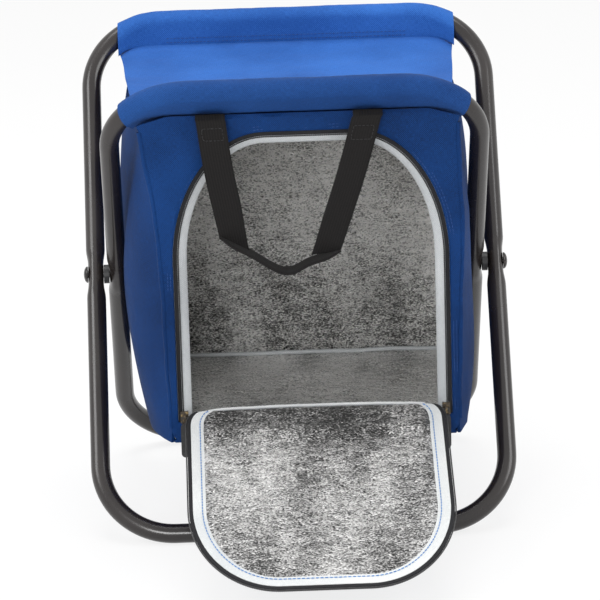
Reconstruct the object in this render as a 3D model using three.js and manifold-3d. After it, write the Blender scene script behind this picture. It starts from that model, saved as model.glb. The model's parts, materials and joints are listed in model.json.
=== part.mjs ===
// Folding cooler stool: two crossed loops of bent steel tube, a sling seat sewn round their top bars,
// and an insulated bag that hangs between them, with a zipped arch door, a webbing handle and two sliders.
// Millimetres, +Z up, +X to the sitter's left as seen from the front, front towards -Y.
// The stool stands open on its two bottom bars, with the door let down.
import * as THREE from 'three';
import { mergeVertices } from 'three/addons/utils/BufferGeometryUtils.js';
import Module from 'manifold-3d';

const wasm = await Module();
wasm.setup();

// Driving dimensions: the frame
const tubeDiameter = 16;
const tubeWall = 1;
const outerWidth = 338; // between the leg centres of the outer loop
const loopGap = 18; // leg centre to leg centre where the two loops cross
const innerWidth = outerWidth - 2 * loopGap; // between the leg centres of the inner loop
const topBarHeight = 380; // centre of a top bar above the floor
const barSpread = 280; // front bar to rear bar, centre to centre, top and bottom alike
const outerBend = 61; // centreline radius of the outer loop's corners
const innerBend = 65;
const crushThickness = 13; // the tube is pressed to this across each pivot
const crushWidth = 18;
const crushHalf = 9; // length of the fully pressed flat each side of the rivet
const crushEase = 13; // from the flat back to the round tube
const rivetDiameter = 6;
const rivetHeadRadius = 7;
const rivetHeadHeight = 3.5;
const rivetTailRadius = 5.5;
const rivetTailHeight = 2;
const spacerRadius = 8;
const clearance = 0.3; // between pieces that touch
const overrun = 5; // a cutter reaches this far past what it cuts

// Driving dimensions: the seat
const sleeveCloth = 1.9; // folded cloth round a bar
const stitchDrop = 18; // from a bar's centre down to the stitch line
const stitchInset = 8; // from a bar's centre in to the stitch line
const stitchRadius = 2;
const seatThickness = 2.4;
const seatSag = 10;
const seatRoom = 16; // seat edge inside the inner loop's leg centre
const seatHalfWidth = innerWidth / 2 - seatRoom;
const seatWaist = 6; // the free side edges draw in by this half way back
const seatNotch = 18; // the front corners are cut back by this to pass the bent tube
const seatNotchDepth = 40;
const seatCorner = 14; // and its front edge bows back by this towards the corners
const seatCornerShare = 0.6;
const tailShare = 0.62; // of the stitch line's distance from the bar, left where the sleeve ends in the bend

// Driving dimensions: the bag
const clothThickness = 2.4; // cloth with its foam
const liningThickness = 1; // foil
const panelInset = 5; // outer face of the front panel, in from the bar's centre
const panelRoom = 21; // front panel's top corners inside the inner loop's leg centre
const panelTaper = 11; // the front panel narrows by this each side towards its foot
const panelTopHalf = innerWidth / 2 - panelRoom;
const panelFootHalf = panelTopHalf - panelTaper;
const panelCentreTop = 2.5; // the bag hangs a little to one side
const panelCentreFoot = 10;
const panelCorner = 14;
const panelShoulder = 30; // the top corners of the front panel are cut back to pass the bent tube
const panelShoulderDrop = 13;
const sideDrop = 14; // top edge of the side walls below the panels' top edge
const bagFloorHeight = 84;
const backFootY = 107; // the back panel slopes forward to here at its foot
const backTaper = 6; // the back panel is narrower by this each side
const backHalf = panelTopHalf - backTaper;
const backCentre = 6;
const sideRoom = 2; // between a swollen side wall and the inner loop's tube
const sideReach = innerWidth / 2 - tubeDiameter / 2 - sideRoom; // the side walls swell out to here
const sideDraw = 16; // and draw in by this at their top and foot
const bagTopDrop = 36; // top face of the bag's lid below the bar's centre

// Driving dimensions: the arch door and its zip
const lipHeight = 109; // the door's fold line
const doorOpenAngle = 110.7; // degrees from shut down to the way it lies
const hingeStandOff = 3.4; // fold line in front of the panel's inner face
const chainMargin = 11.5; // the two rows of teeth inside the front panel's foot
const chainHalf = panelFootHalf - chainMargin; // half width between the two rows of teeth
const archBelowBar = 40.5; // top of the arch below the bar's centre
const archHeight = topBarHeight - lipHeight - archBelowBar;
const archCornerWide = 72.5;
const archCornerTall = 102.5;
const doorNeck = 10; // the door is narrower by this each side at its root
const doorNeckRise = 20;
const toothWidth = 1.3;
const tapeWidth = 3.1;
const doorTapeWidth = 2.8;
const bindingWidth = 10.5;
const shellThickness = 1.4;
const bindingThickness = 1.3;
const tapeThickness = 1.2;
const toothHeight = 2.8;
const zipFoot = 7; // the body's half of the zip runs on below the lip
const facingWidth = 14;
const facingThickness = 1.2;

// Driving dimensions: sliders, pulls and handle
const sliderLength = 10;
const sliderPlate = 1.5;
const sliderCheek = 1.5;
const bridgeWidth = 2;
const bridgeBar = 1;
const pullLength = 34;
const pullWidth = 7;
const pullThickness = 1.2;
const pullEyeWidth = 3.6;
const pullEyeHeight = 5;
const pullBar = 1.5;
const webWidth = 24;
const webThickness = 1.6;
const handleLeftTop = -68.5;
const handleRightTop = 58.5;
const handleLeftFoot = -52;
const handleRightFoot = 22;
const handleStandOff = 9.5; // hanging straps in front of the front panel
const handleBottom = 232;
const handleShoulder = 262; // the straps start to turn on edge here
const handleRoot = 361;

// Finishes
const finish = (color, roughness, metalness) => new THREE.MeshStandardMaterial({ color, roughness, metalness });
const blackPaint = finish(0x1c1a1b, 0.28, 0.35);
const steel = finish(0x2a2829, 0.3, 0.8);
const nylon = finish(0x151517, 0.6, 0);
const blueCloth = finish(0x1846ad, 0.85, 0);
const foil = finish(0xb9bcc0, 0.3, 0.8);
const whiteBinding = finish(0xe6e8ec, 0.8, 0);
const zipTape = finish(0x17171a, 0.85, 0);
const zipTeeth = finish(0x0e0e10, 0.45, 0);
const sliderMetal = finish(0x3a352c, 0.35, 0.7);
const webbing = finish(0x141416, 0.9, 0);

// Places worked out from the driving dimensions
const tubeRadius = tubeDiameter / 2;
const floorHeight = tubeRadius; // bottom bars lie on the floor
const rise = topBarHeight - floorHeight;
const lean = Math.atan2(barSpread, rise); // each leg leans this far from upright
const legLength = Math.hypot(barSpread, rise);
const pivotHeight = (topBarHeight + floorHeight) / 2;
const barY = barSpread / 2;
const panelBack = -barY + panelInset + clothThickness; // inner face of the front panel
const panelTop = topBarHeight - stitchDrop - stitchRadius - clearance; // panels start under the stitched edges

// Swept and lofted solids
const sides = 16; // facets round a tube
const boreSides = 10;
const smooth = (t) => {
  const c = Math.min(Math.max(t, 0), 1);
  return c * c * (3 - 2 * c);
};
const mix = (a, b, t) => a + (b - a) * t;

const arc = (cx, cy, radius, from, to, steps) =>
  Array.from({ length: steps + 1 }, (_, k) => {
    const angle = mix(from, to, k / steps);
    return new THREE.Vector2(cx + radius * Math.cos(angle), cy + radius * Math.sin(angle));
  });

// Closed surface through rings of points: joined end to start, or capped with fans at both ends.
function loft(rings, joined) {
  const n = rings[0].length;
  const position = rings.flat().flatMap((p) => [p.x, p.y, p.z]);
  const index = [];
  const spans = joined ? rings.length : rings.length - 1;
  for (let i = 0; i < spans; i++) {
    const a = i * n;
    const b = ((i + 1) % rings.length) * n;
    for (let k = 0; k < n; k++) {
      const m = (k + 1) % n;
      index.push(a + k, a + m, b + k, a + m, b + m, b + k);
    }
  }
  if (!joined) {
    for (let k = 1; k < n - 1; k++) {
      index.push(0, k + 1, k);
      const last = (rings.length - 1) * n;
      index.push(last, last + k, last + k + 1);
    }
  }
  return indexed(position, index);
}

function indexed(position, index) {
  const geometry = new THREE.BufferGeometry();
  geometry.setAttribute('position', new THREE.Float32BufferAttribute(position, 3));
  geometry.setIndex(index);
  if (volume(geometry) < 0) {
    for (let i = 0; i < index.length; i += 3) [index[i], index[i + 1]] = [index[i + 1], index[i]];
    geometry.setIndex(index);
  }
  geometry.computeVertexNormals();
  return geometry;
}

function volume(geometry) {
  const p = geometry.getAttribute('position');
  const at = (i) => new THREE.Vector3().fromBufferAttribute(p, geometry.index.getX(i));
  let sum = 0;
  for (let i = 0; i < geometry.index.count; i += 3) sum += at(i).dot(at(i + 1).cross(at(i + 2)));
  return sum / 6;
}

// A skin of even thickness over a surface given by place(u, v); each grid line is one row of the two faces.
function skin(across, along, place, thickness) {
  const faces = [[], []];
  const step = 1 / (across * along);
  for (let j = 0; j <= along; j++) {
    for (let i = 0; i <= across; i++) {
      const [u, v] = [i / across, j / along];
      const p = place(u, v);
      const du = place(u + step, v).sub(place(u - step, v));
      const dv = place(u, v + step).sub(place(u, v - step));
      const normal = du.cross(dv).normalize();
      faces[0].push(p);
      faces[1].push(p.clone().addScaledVector(normal, thickness));
    }
  }
  return slabBetween(faces[0], faces[1], across, along);
}

function slabBetween(under, over, across, along) {
  const row = across + 1;
  const total = under.length;
  const index = [];
  const quad = (a, b, c, d) => index.push(a, b, c, a, c, d);
  for (let j = 0; j < along; j++) {
    for (let i = 0; i < across; i++) {
      const a = j * row + i;
      quad(a, a + row, a + row + 1, a + 1);
      quad(total + a, total + a + 1, total + a + row + 1, total + a + row);
    }
  }
  const rim = [];
  for (let i = 0; i < across; i++) rim.push(i);
  for (let j = 0; j < along; j++) rim.push(j * row + across);
  for (let i = across; i > 0; i--) rim.push(along * row + i);
  for (let j = along; j > 0; j--) rim.push(j * row);
  rim.forEach((a, k) => {
    const b = rim[(k + 1) % rim.length];
    quad(a, b, b + total, a + total);
  });
  const position = [...under, ...over].flatMap((p) => [p.x, p.y, p.z]);
  return indexed(position, index);
}

// Booleans
function solidOf(geometry) {
  const bare = geometry.clone();
  bare.deleteAttribute('normal');
  bare.deleteAttribute('uv');
  const merged = mergeVertices(bare);
  return new wasm.Manifold(
    new wasm.Mesh({
      numProp: 3,
      vertProperties: new Float32Array(merged.getAttribute('position').array),
      triVerts: new Uint32Array(merged.index.array),
    }),
  );
}

function geometryOf(solid) {
  const mesh = solid.getMesh();
  const geometry = new THREE.BufferGeometry();
  geometry.setAttribute('position', new THREE.Float32BufferAttribute(mesh.vertProperties, 3));
  geometry.setIndex(new THREE.Uint32BufferAttribute(mesh.triVerts, 1));
  geometry.computeVertexNormals();
  return geometry;
}

const cut = (geometry, ...cutters) =>
  geometryOf(cutters.reduce((left, cutter) => left.subtract(solidOf(cutter)), solidOf(geometry)));
const join = (geometry, ...others) =>
  geometryOf(others.reduce((left, other) => left.add(solidOf(other)), solidOf(geometry)));

function named(name, geometry, material) {
  const mesh = new THREE.Mesh(geometry, material);
  mesh.name = name;
  return mesh;
}

// Tube loops
// A loop's centreline runs once round a rounded rectangle in its own plane: across, and up the legs.
// Each station holds its point, the way out from the middle of the loop, and its height along a leg.
const bendSteps = 12;

function loopStations(width, bend, cornerSteps) {
  const half = new THREE.Vector2(width / 2 - bend, legLength / 2 - bend);
  const stations = [];
  const corner = (sx, sy, from) => {
    for (let k = 0; k <= cornerSteps; k++) {
      const angle = from + (Math.PI / 2) * (k / cornerSteps);
      const out = new THREE.Vector2(Math.cos(angle), Math.sin(angle));
      const at = new THREE.Vector2(sx * half.x, sy * half.y).addScaledVector(out, bend);
      stations.push({ at, out, press: 0 });
    }
  };
  const leg = (side, way) => {
    const heights = [1, 0.66, 0.33, 0].map((share) => crushHalf + crushEase * share);
    for (const height of [...heights.map((h) => -h), ...[...heights].reverse()]) {
      const press = smooth((crushHalf + crushEase - Math.abs(height)) / crushEase);
      const at = new THREE.Vector2((side * width) / 2, way * height);
      stations.push({ at, out: new THREE.Vector2(side, 0), press });
    }
  };
  corner(1, -1, -Math.PI / 2);
  leg(1, 1);
  corner(1, 1, 0);
  corner(-1, 1, Math.PI / 2);
  leg(-1, -1);
  corner(-1, -1, Math.PI);
  return stations;
}

// The loop's plane leans back at the top (slant 1) or forward (slant -1).
function planeOf(slant) {
  const up = new THREE.Vector3(0, slant * Math.sin(lean), Math.cos(lean));
  const right = new THREE.Vector3(1, 0, 0);
  return { right, up, normal: right.clone().cross(up) };
}

// Facets turn so that one faces straight down along the bottom bar and one faces each rivet head.
function facetTurn(station, slant) {
  const step = (2 * Math.PI) / sides;
  const toFloor = -slant * lean;
  const turn = toFloor - Math.round(toFloor / step) * step;
  return station.out.y < 0 || station.at.y < -(crushHalf + crushEase) ? turn : 0;
}

function ringAt(station, plane, turn, count, halfThick, halfWide) {
  const grow = 1 / Math.cos(Math.PI / count);
  const centre = new THREE.Vector3(0, 0, pivotHeight)
    .addScaledVector(plane.right, station.at.x)
    .addScaledVector(plane.up, station.at.y);
  const outward = new THREE.Vector3()
    .addScaledVector(plane.right, station.out.x)
    .addScaledVector(plane.up, station.out.y);
  return Array.from({ length: count }, (_, k) => {
    const angle = turn + ((k + 0.5) * 2 * Math.PI) / count;
    return centre
      .clone()
      .addScaledVector(outward, halfThick * grow * Math.cos(angle))
      .addScaledVector(plane.normal, halfWide * grow * Math.sin(angle));
  });
}

function tubeLoop(width, bend, slant) {
  const plane = planeOf(slant);
  const skinAt = (inset, cornerSteps, count) =>
    loft(
      loopStations(width, bend, cornerSteps).map((station) => {
        const thick = mix(tubeRadius, crushThickness / 2, station.press) - inset;
        const wide = mix(tubeRadius, crushWidth / 2, station.press) - inset;
        const turn = count === sides ? facetTurn(station, slant) : 0;
        return ringAt(station, plane, turn, count, thick, wide);
      }),
      true,
    );
  const hole = (side) =>
    rod(rivetDiameter / 2 + clearance, tubeDiameter + 2 * overrun).translate((side * width) / 2, 0, pivotHeight);
  const bore = skinAt(tubeWall, bendSteps / 2, boreSides);
  return cut(skinAt(0, bendSteps, sides), bore, hole(1), hole(-1));
}

// A round rod across the stool
const rod = (radius, length) => new THREE.CylinderGeometry(radius, radius, length, sides).rotateZ(Math.PI / 2);

// Rivets
// Profile up the rivet's own axis: formed tail, shank, domed head.
function rivet(side) {
  const shank = rivetDiameter / 2;
  const tailSeat = innerWidth / 2 - crushThickness / 2 - clearance;
  const headSeat = outerWidth / 2 + crushThickness / 2 + clearance;
  const dome = [0, 0.4, 0.7, 0.92, 1].map((share) => {
    const angle = (Math.PI / 2) * share;
    return new THREE.Vector2(rivetHeadRadius * Math.cos(angle), headSeat + rivetHeadHeight * Math.sin(angle));
  });
  dome[dome.length - 1].x = 0;
  const profile = [
    new THREE.Vector2(0, tailSeat - rivetTailHeight),
    new THREE.Vector2(rivetTailRadius * 0.7, tailSeat - rivetTailHeight),
    new THREE.Vector2(rivetTailRadius, tailSeat - rivetTailHeight / 2),
    new THREE.Vector2(rivetTailRadius, tailSeat),
    new THREE.Vector2(shank, tailSeat),
    new THREE.Vector2(shank, headSeat),
    ...dome,
  ];
  const body = new THREE.LatheGeometry(profile, sides);
  return body.rotateZ(-Math.PI / 2 * side).translate(0, 0, pivotHeight);
}

// Washer that keeps the two loops apart
function spacer(side) {
  const from = innerWidth / 2 + crushThickness / 2 + clearance;
  const to = outerWidth / 2 - crushThickness / 2 - clearance;
  const bore = rivetDiameter / 2 + clearance;
  const profile = [
    new THREE.Vector2(bore, from),
    new THREE.Vector2(spacerRadius, from),
    new THREE.Vector2(spacerRadius, to),
    new THREE.Vector2(bore, to),
    new THREE.Vector2(bore, from),
  ];
  return new THREE.LatheGeometry(profile, sides).rotateZ(-Math.PI / 2 * side).translate(0, 0, pivotHeight);
}

// Seat
// A sleeve is a folded strip of cloth round the top bar, drawn to a stitched edge below it.
// It follows the bar a few steps into each bend.
function sleeve(width, bend, slant, stepsIntoBend) {
  const plane = planeOf(slant);
  const top = loopStations(width, bend, bendSteps).filter((s) => s.press === 0 && s.at.y > crushHalf + crushEase);
  const straight = top.filter((s) => s.out.y > Math.cos(((stepsIntoBend + 0.5) * Math.PI) / (2 * bendSteps)));
  const tail = new THREE.Vector3(0, -slant * stitchInset, -stitchDrop);
  const tailOut = tail.dot(plane.up);
  const tailAcross = tail.dot(plane.normal);
  const reach = tubeRadius / Math.cos(Math.PI / sides) + clearance + sleeveCloth;
  const endTurn = Math.PI / 2 * (stepsIntoBend / bendSteps);
  const ringOf = (station) => {
    const left = mix(1, tailShare, smooth(Math.acos(Math.min(station.out.y, 1)) / endTurn));
    const points = teardrop(reach, tailOut * left, tailAcross * left, 10);
    const out = new THREE.Vector3()
      .addScaledVector(plane.right, station.out.x)
      .addScaledVector(plane.up, station.out.y);
    const centre = new THREE.Vector3(0, 0, pivotHeight)
      .addScaledVector(plane.right, station.at.x)
      .addScaledVector(plane.up, station.at.y);
    return points.map((p) => centre.clone().addScaledVector(out, p.x).addScaledVector(plane.normal, p.y));
  };
  const room = tubeRadius + 2 * clearance;
  const bore = straight.map((s) => ringAt(s, plane, 0, sides, room, room));
  const past = (ring, next) => ring.map((p, k) => p.clone().add(p.clone().sub(next[k]).setLength(overrun)));
  const longBore = [past(bore[0], bore[1]), ...bore, past(bore.at(-1), bore.at(-2))];
  return cut(loft(straight.map(ringOf), false), loft(longBore, false));
}

// Round about the bar, with two flanks that meet in the small round of the stitched edge
function teardrop(reach, tailOut, tailAcross, count) {
  const distance = Math.hypot(tailOut, tailAcross);
  const toTail = Math.atan2(tailAcross, tailOut);
  const flank = Math.acos((reach - stitchRadius) / distance);
  return [
    ...arc(0, 0, reach, toTail + flank, toTail + 2 * Math.PI - flank, count),
    ...arc(tailOut, tailAcross, stitchRadius, toTail - flank, toTail + flank, 4),
  ];
}

// The sling sags between the two stitched edges.
function sling() {
  const edge = barY - stitchInset - stitchRadius - 2 * clearance;
  const seam = topBarHeight - stitchDrop;
  const place = (u, v) => {
    const corner = seatCorner * smooth((Math.abs(2 * u - 1) - seatCornerShare) / (1 - seatCornerShare));
    const y = mix(corner - edge, edge, v);
    const bow = 1 - (y / edge) ** 2;
    const notch = seatNotch * (1 - smooth((y + edge) / seatNotchDepth));
    const x = (u - 0.5) * 2 * (seatHalfWidth - seatWaist * bow - notch);
    const roll = Math.cos(Math.PI * (u - 0.5)); // the free side edges hang a little lower
    return new THREE.Vector3(x, y, seam - seatThickness / 2 - seatSag * bow * mix(0.85, 1, roll));
  };
  return skin(10, 14, place, seatThickness);
}

// Bag
// Side seams of the front panel: share is 0 at its foot and 1 at its top.
const bagHeight = panelTop - bagFloorHeight;
const frontCentre = (share) => mix(panelCentreFoot, panelCentreTop, smooth((share - 0.6) / 0.4));
const frontHalf = (share) => mix(panelFootHalf, panelTopHalf, share * share);
const backY = (share) => mix(backFootY, barY - panelInset, share);
const facesFront = panelBack + clearance; // where what meets the front panel from inside begins

// Side wall: from the front seam (depth share 0) to the back seam (1), swelling between them.
function sideX(side, depth, share) {
  const front = frontCentre(share) + side * frontHalf(share);
  const back = backCentre + side * backHalf;
  const swell = side * (sideReach - sideDraw * Math.abs(2 * share - 1) ** 3);
  const control = 2 * swell - (front + back) / 2;
  const rest = 1 - depth;
  return rest * rest * front + 2 * rest * depth * control + depth * depth * back;
}
const sideY = (depth, share, inset) =>
  mix(facesFront + inset, backY(share) - clothThickness - clearance - inset, depth);
const heightAt = (share) => bagFloorHeight + bagHeight * share;

// Outline of the front panel in across and up, measured from the fold line.
function frontOutline() {
  const rows = 8;
  const edge = (side, share) => new THREE.Vector2(
    frontCentre(share) + side * frontHalf(share),
    heightAt(share) - lipHeight,
  );
  const shares = Array.from({ length: rows + 1 }, (_, k) => k / rows);
  const low = panelCorner / bagHeight;
  const left = shares.map((s) => edge(-1, Math.max(s, low)));
  const right = shares.map((s) => edge(1, Math.max(s, low))).reverse();
  const shape = new THREE.Shape();
  const foot = bagFloorHeight - lipHeight;
  shape.moveTo(left[0].x + panelCorner, foot);
  shape.lineTo(right.at(-1).x - panelCorner, foot);
  shape.quadraticCurveTo(right.at(-1).x, foot, right.at(-1).x, foot + panelCorner);
  right.slice(1, -1).reverse().forEach((p) => shape.lineTo(p.x, p.y));
  const [topLeft, topRight] = [left.at(-1), right[0]];
  shape.lineTo(topRight.x, topRight.y - panelShoulderDrop);
  shape.lineTo(topRight.x - panelShoulder, topRight.y);
  shape.lineTo(topLeft.x + panelShoulder, topLeft.y);
  shape.lineTo(topLeft.x, topLeft.y - panelShoulderDrop);
  left.slice(1, -1).reverse().forEach((p) => shape.lineTo(p.x, p.y));
  shape.lineTo(left[0].x, foot + panelCorner);
  shape.quadraticCurveTo(left[0].x, foot, left[0].x + panelCorner, foot);
  return shape;
}

// The arch, inset from the line where the teeth meet: from its left foot, over the top, to its right foot.
const archSteps = 9;
function arch(inset, foot) {
  const half = chainHalf - inset;
  const top = archHeight - inset;
  const wide = archCornerWide - inset;
  const tall = archCornerTall - inset;
  const points = [new THREE.Vector2(-half, foot)];
  for (let k = 0; k <= archSteps; k++) {
    const angle = ((Math.PI / 2) * k) / archSteps;
    points.push(new THREE.Vector2(-half + wide * (1 - Math.cos(angle)), top - tall * (1 - Math.sin(angle))));
  }
  const other = points.map((p) => new THREE.Vector2(-p.x, p.y)).reverse();
  return [...points, ...other];
}

// The door's own arch narrows to a neck at its root.
function doorArch(inset) {
  const points = arch(inset, doorNeckRise).map((p) => p.clone());
  const steps = 4;
  const neck = Array.from({ length: steps }, (_, k) => {
    const angle = ((Math.PI / 2) * k) / steps;
    const x = chainHalf - inset - doorNeck * (1 - Math.sin(angle));
    return new THREE.Vector2(-x, clearance + (doorNeckRise - clearance) * (1 - Math.cos(angle)));
  });
  const other = neck.map((p) => new THREE.Vector2(-p.x, p.y)).reverse();
  return [...neck, ...points, ...other];
}

// A flat piece of a panel: its outline across and up, its two faces at distances in front of the panel's back.
function flat(shape, near, far, centre) {
  const slab = new THREE.ExtrudeGeometry(shape, { depth: far - near, bevelEnabled: false, curveSegments: 6 });
  return slab.rotateX(Math.PI / 2).translate(centre, -near, 0);
}
const band = (path, inner) => new THREE.Shape([...path, ...[...inner].reverse()]);

// Insets of what lies side by side across the zip, outwards from the teeth line (minus) and inwards (plus)
const teethGap = clearance / 2;
const bodyTeeth = [-teethGap - toothWidth, -teethGap];
const bodyTape = [bodyTeeth[0] - clearance - tapeWidth, bodyTeeth[0] - clearance];
const panelEdge = bodyTape[0] - clearance;
const doorTeeth = [teethGap, teethGap + toothWidth];
const doorTape = [doorTeeth[1] + clearance, doorTeeth[1] + clearance + doorTapeWidth];
const doorEdge = doorTape[1] + clearance;
const tapeNear = (clothThickness - tapeThickness) / 2;
const doorCentre = panelCentreFoot;

function frontPanel() {
  const body = flat(frontOutline(), 0, clothThickness, 0);
  const hole = [
    ...arch(panelEdge, -zipFoot - clearance),
  ];
  const innerFoot = chainHalf - sliderHalf - clearance;
  hole.push(
    new THREE.Vector2(innerFoot, -zipFoot - clearance),
    new THREE.Vector2(innerFoot, 0),
    new THREE.Vector2(-innerFoot, 0),
    new THREE.Vector2(-innerFoot, -zipFoot - clearance),
  );
  return cut(body, flat(new THREE.Shape(hole), -overrun, clothThickness + overrun, doorCentre));
}

const bodyBand = (range, near, far) =>
  flat(band(arch(range[0], -zipFoot), arch(range[1], -zipFoot)), near, far, doorCentre);
const doorBand = (range, near, far) =>
  flat(band(doorArch(range[0]), doorArch(range[1])), near, far, 0);

const sideWall = (side, inset, thickness, low, high) =>
  skin(10, 8, (u, v) => {
    const share = mix(low, high, v) / bagHeight;
    const x = sideX(side, u, share) - side * inset;
    return new THREE.Vector3(x, sideY(u, share, inset), heightAt(share));
  }, -side * thickness);

// A level sheet across the bag between its two side walls, from a step behind the front panel to one before the back
function level(share, step, lap, thickness) {
  const [from, to] = [sideY(0, share, 0), sideY(1, share, 0)];
  return skin(4, 8, (u, v) => {
    const y = mix(from + step, to - (lap - clothLap), v);
    const depth = (y - from) / (to - from);
    const left = sideX(-1, depth, share) + lap;
    const right = sideX(1, depth, share) - lap;
    return new THREE.Vector3(mix(left, right, u), y, heightAt(share));
  }, thickness);
}

// Back panel: flat, from the stitched edge down to the foot of the slope
const backSheet = (inset, low, high, thickness) =>
  skin(3, 3, (u, v) => {
    const share = mix(low, high, v) / bagHeight;
    const x = backCentre + (u - 0.5) * 2 * (backHalf - inset);
    return new THREE.Vector3(x, backY(share) - inset, heightAt(share));
  }, -thickness);

// Slider: plate in front of both rows of teeth, two cheeks, and the bridge that holds the pull.
// Its own frame: across, out towards the front (-Y), and up; zero on the teeth line at the panel's inner face.
const plateNear = tapeNear / 3 + toothHeight + clearance;
const cheekNear = tapeNear + tapeThickness + clearance;
const sliderHalf = toothWidth + teethGap + clearance + sliderCheek;
const bridgeRoom = pullBar + 2 * clearance;
const bridgeFoot = plateNear + sliderPlate;

function block(width, near, far, height) {
  return new THREE.BoxGeometry(width, far - near, height).translate(0, -(near + far) / 2, 0);
}

function slider() {
  const grooved = cut(
    block(2 * sliderHalf, cheekNear, bridgeFoot, sliderLength),
    block(2 * (sliderHalf - sliderCheek), cheekNear - overrun, plateNear, sliderLength + overrun),
  );
  const bridgeHalf = bridgeRoom / 2 + bridgeBar;
  const frame = new THREE.Shape();
  const top = bridgeRoom + bridgeBar;
  frame.moveTo(-bridgeHalf, -sliderPlate / 2);
  frame.lineTo(bridgeHalf, -sliderPlate / 2);
  frame.lineTo(bridgeHalf, top - bridgeBar);
  frame.quadraticCurveTo(bridgeHalf, top, bridgeHalf - bridgeBar, top);
  frame.lineTo(bridgeBar - bridgeHalf, top);
  frame.quadraticCurveTo(-bridgeHalf, top, -bridgeHalf, top - bridgeBar);
  const room = new THREE.Path();
  room.moveTo(-bridgeRoom / 2, 0);
  room.lineTo(-bridgeRoom / 2, bridgeRoom);
  room.lineTo(bridgeRoom / 2, bridgeRoom);
  room.lineTo(bridgeRoom / 2, 0);
  frame.holes.push(room);
  const bridge = new THREE.ExtrudeGeometry(frame, { depth: bridgeWidth, bevelEnabled: false, curveSegments: 3 });
  const [across, outward, up] = [[1, 0, 0], [0, -1, 0], [0, 0, 1]].map((axis) => new THREE.Vector3(...axis));
  bridge.translate(0, 0, -bridgeWidth / 2).applyMatrix4(new THREE.Matrix4().makeBasis(up, outward, across));
  return join(grooved, bridge.translate(0, -bridgeFoot, 0));
}

// Pull: a tongue that hangs from a cross bar under the bridge; zero at the bar's centre.
function pull() {
  const half = pullWidth / 2;
  const shoulder = pullEyeHeight + 2 * pullBar;
  const waist = pullEyeWidth / 2 + pullBar / 2;
  const shape = new THREE.Shape([
    new THREE.Vector2(-waist, pullBar / 2),
    new THREE.Vector2(waist, pullBar / 2),
    new THREE.Vector2(waist, -pullEyeHeight - pullBar / 2),
    new THREE.Vector2(half, -shoulder),
    ...arc(0, half - pullLength, half, 0, -Math.PI, 8),
    new THREE.Vector2(-half, -shoulder),
    new THREE.Vector2(-waist, -pullEyeHeight - pullBar / 2),
  ]);
  const eye = new THREE.Path();
  eye.moveTo(-pullEyeWidth / 2, -pullBar / 2);
  eye.lineTo(-pullEyeWidth / 2, -pullEyeHeight);
  eye.lineTo(pullEyeWidth / 2, -pullEyeHeight);
  eye.lineTo(pullEyeWidth / 2, -pullBar / 2);
  shape.holes.push(eye);
  const tongue = new THREE.ExtrudeGeometry(shape, { depth: pullThickness, bevelEnabled: false, curveSegments: 8 });
  return tongue.rotateX(Math.PI / 2).translate(0, pullThickness / 2, 0);
}

// Handle: one webbing whose two ends are sewn under the front sleeve. It hangs flat and turns on edge at the bottom.
function handle() {
  const seamY = -barY + panelInset - clearance - webThickness / 2;
  const hangY = -barY + panelInset - handleStandOff;
  const bottomY = -barY + panelInset - clothThickness - webWidth / 2 - clearance;
  const middle = (handleLeftFoot + handleRightFoot) / 2;
  const bend = handleShoulder - handleBottom;
  const half = (side) => {
    const top = side < 0 ? handleLeftTop : handleRightTop;
    const foot = side < 0 ? handleLeftFoot : handleRightFoot;
    const points = [
      [top, seamY, handleRoot - webThickness],
      [top, (seamY + hangY) / 2, handleRoot],
      [top, hangY, handleRoot - 2 * webThickness],
      [mix(top, foot, 0.3), hangY, mix(handleRoot, handleShoulder, 0.3)],
      [mix(top, foot, 0.7), hangY, mix(handleRoot, handleShoulder, 0.7)],
      [foot, mix(hangY, bottomY, 0.3), handleShoulder],
    ].map((p) => ({ at: new THREE.Vector3(...p), turn: 0 }));
    for (let k = 1; k <= 5; k++) {
      const angle = (Math.PI / 2) * (k / 5);
      const at = new THREE.Vector3(
        mix(foot, middle, 1 - Math.cos(angle)),
        mix(hangY, bottomY, mix(0.3, 1, Math.min(1, k / 3))),
        handleShoulder - bend * Math.sin(angle),
      );
      points.push({ at, turn: Math.min(1, k / 3) });
    }
    return points;
  };
  const right = half(1).slice(0, -1).reverse();
  const path = [...half(-1), ...right];
  const across = new THREE.Vector3(1, 0, 0);
  const rings = path.map((station, i) => {
    const before = path[Math.max(i - 1, 0)].at;
    const after = path[Math.min(i + 1, path.length - 1)].at;
    const tangent = after.clone().sub(before).normalize();
    const down = i < path.length / 2 ? 1 : -1;
    const level = across.clone().multiplyScalar(down);
    const flatWay = level.addScaledVector(tangent, -level.dot(tangent)).normalize();
    const edgeWay = new THREE.Vector3(0, -1, 0);
    const wide = i * 2 === path.length - 1 || station.turn === 1
      ? edgeWay
      : flatWay.multiplyScalar(1 - station.turn).addScaledVector(edgeWay, station.turn).normalize();
    wide.addScaledVector(tangent, -wide.dot(tangent)).normalize();
    const thin = wide.clone().cross(tangent).normalize();
    return [[-1, -1], [1, -1], [1, 1], [-1, 1]].map(([a, b]) =>
      station.at
        .clone()
        .addScaledVector(wide, (a * webWidth) / 2)
        .addScaledVector(thin, (b * webThickness) / 2),
    );
  });
  return loft(rings, false);
}

// Assembly
// The origin is on the floor under the middle of the stool as it stands, with its door let down.
const sleeveReach = tubeRadius / Math.cos(Math.PI / sides) + clearance + sleeveCloth;
const hingeY = panelBack - hingeStandOff;
const open = THREE.MathUtils.degToRad(doorOpenAngle);
const doorTipY = hingeY - (archHeight - teethGap) * Math.sin(open) + hingeStandOff * Math.cos(open);
const stool = new THREE.Group();
stool.position.y = -(doorTipY + barY + sleeveReach) / 2;

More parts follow.
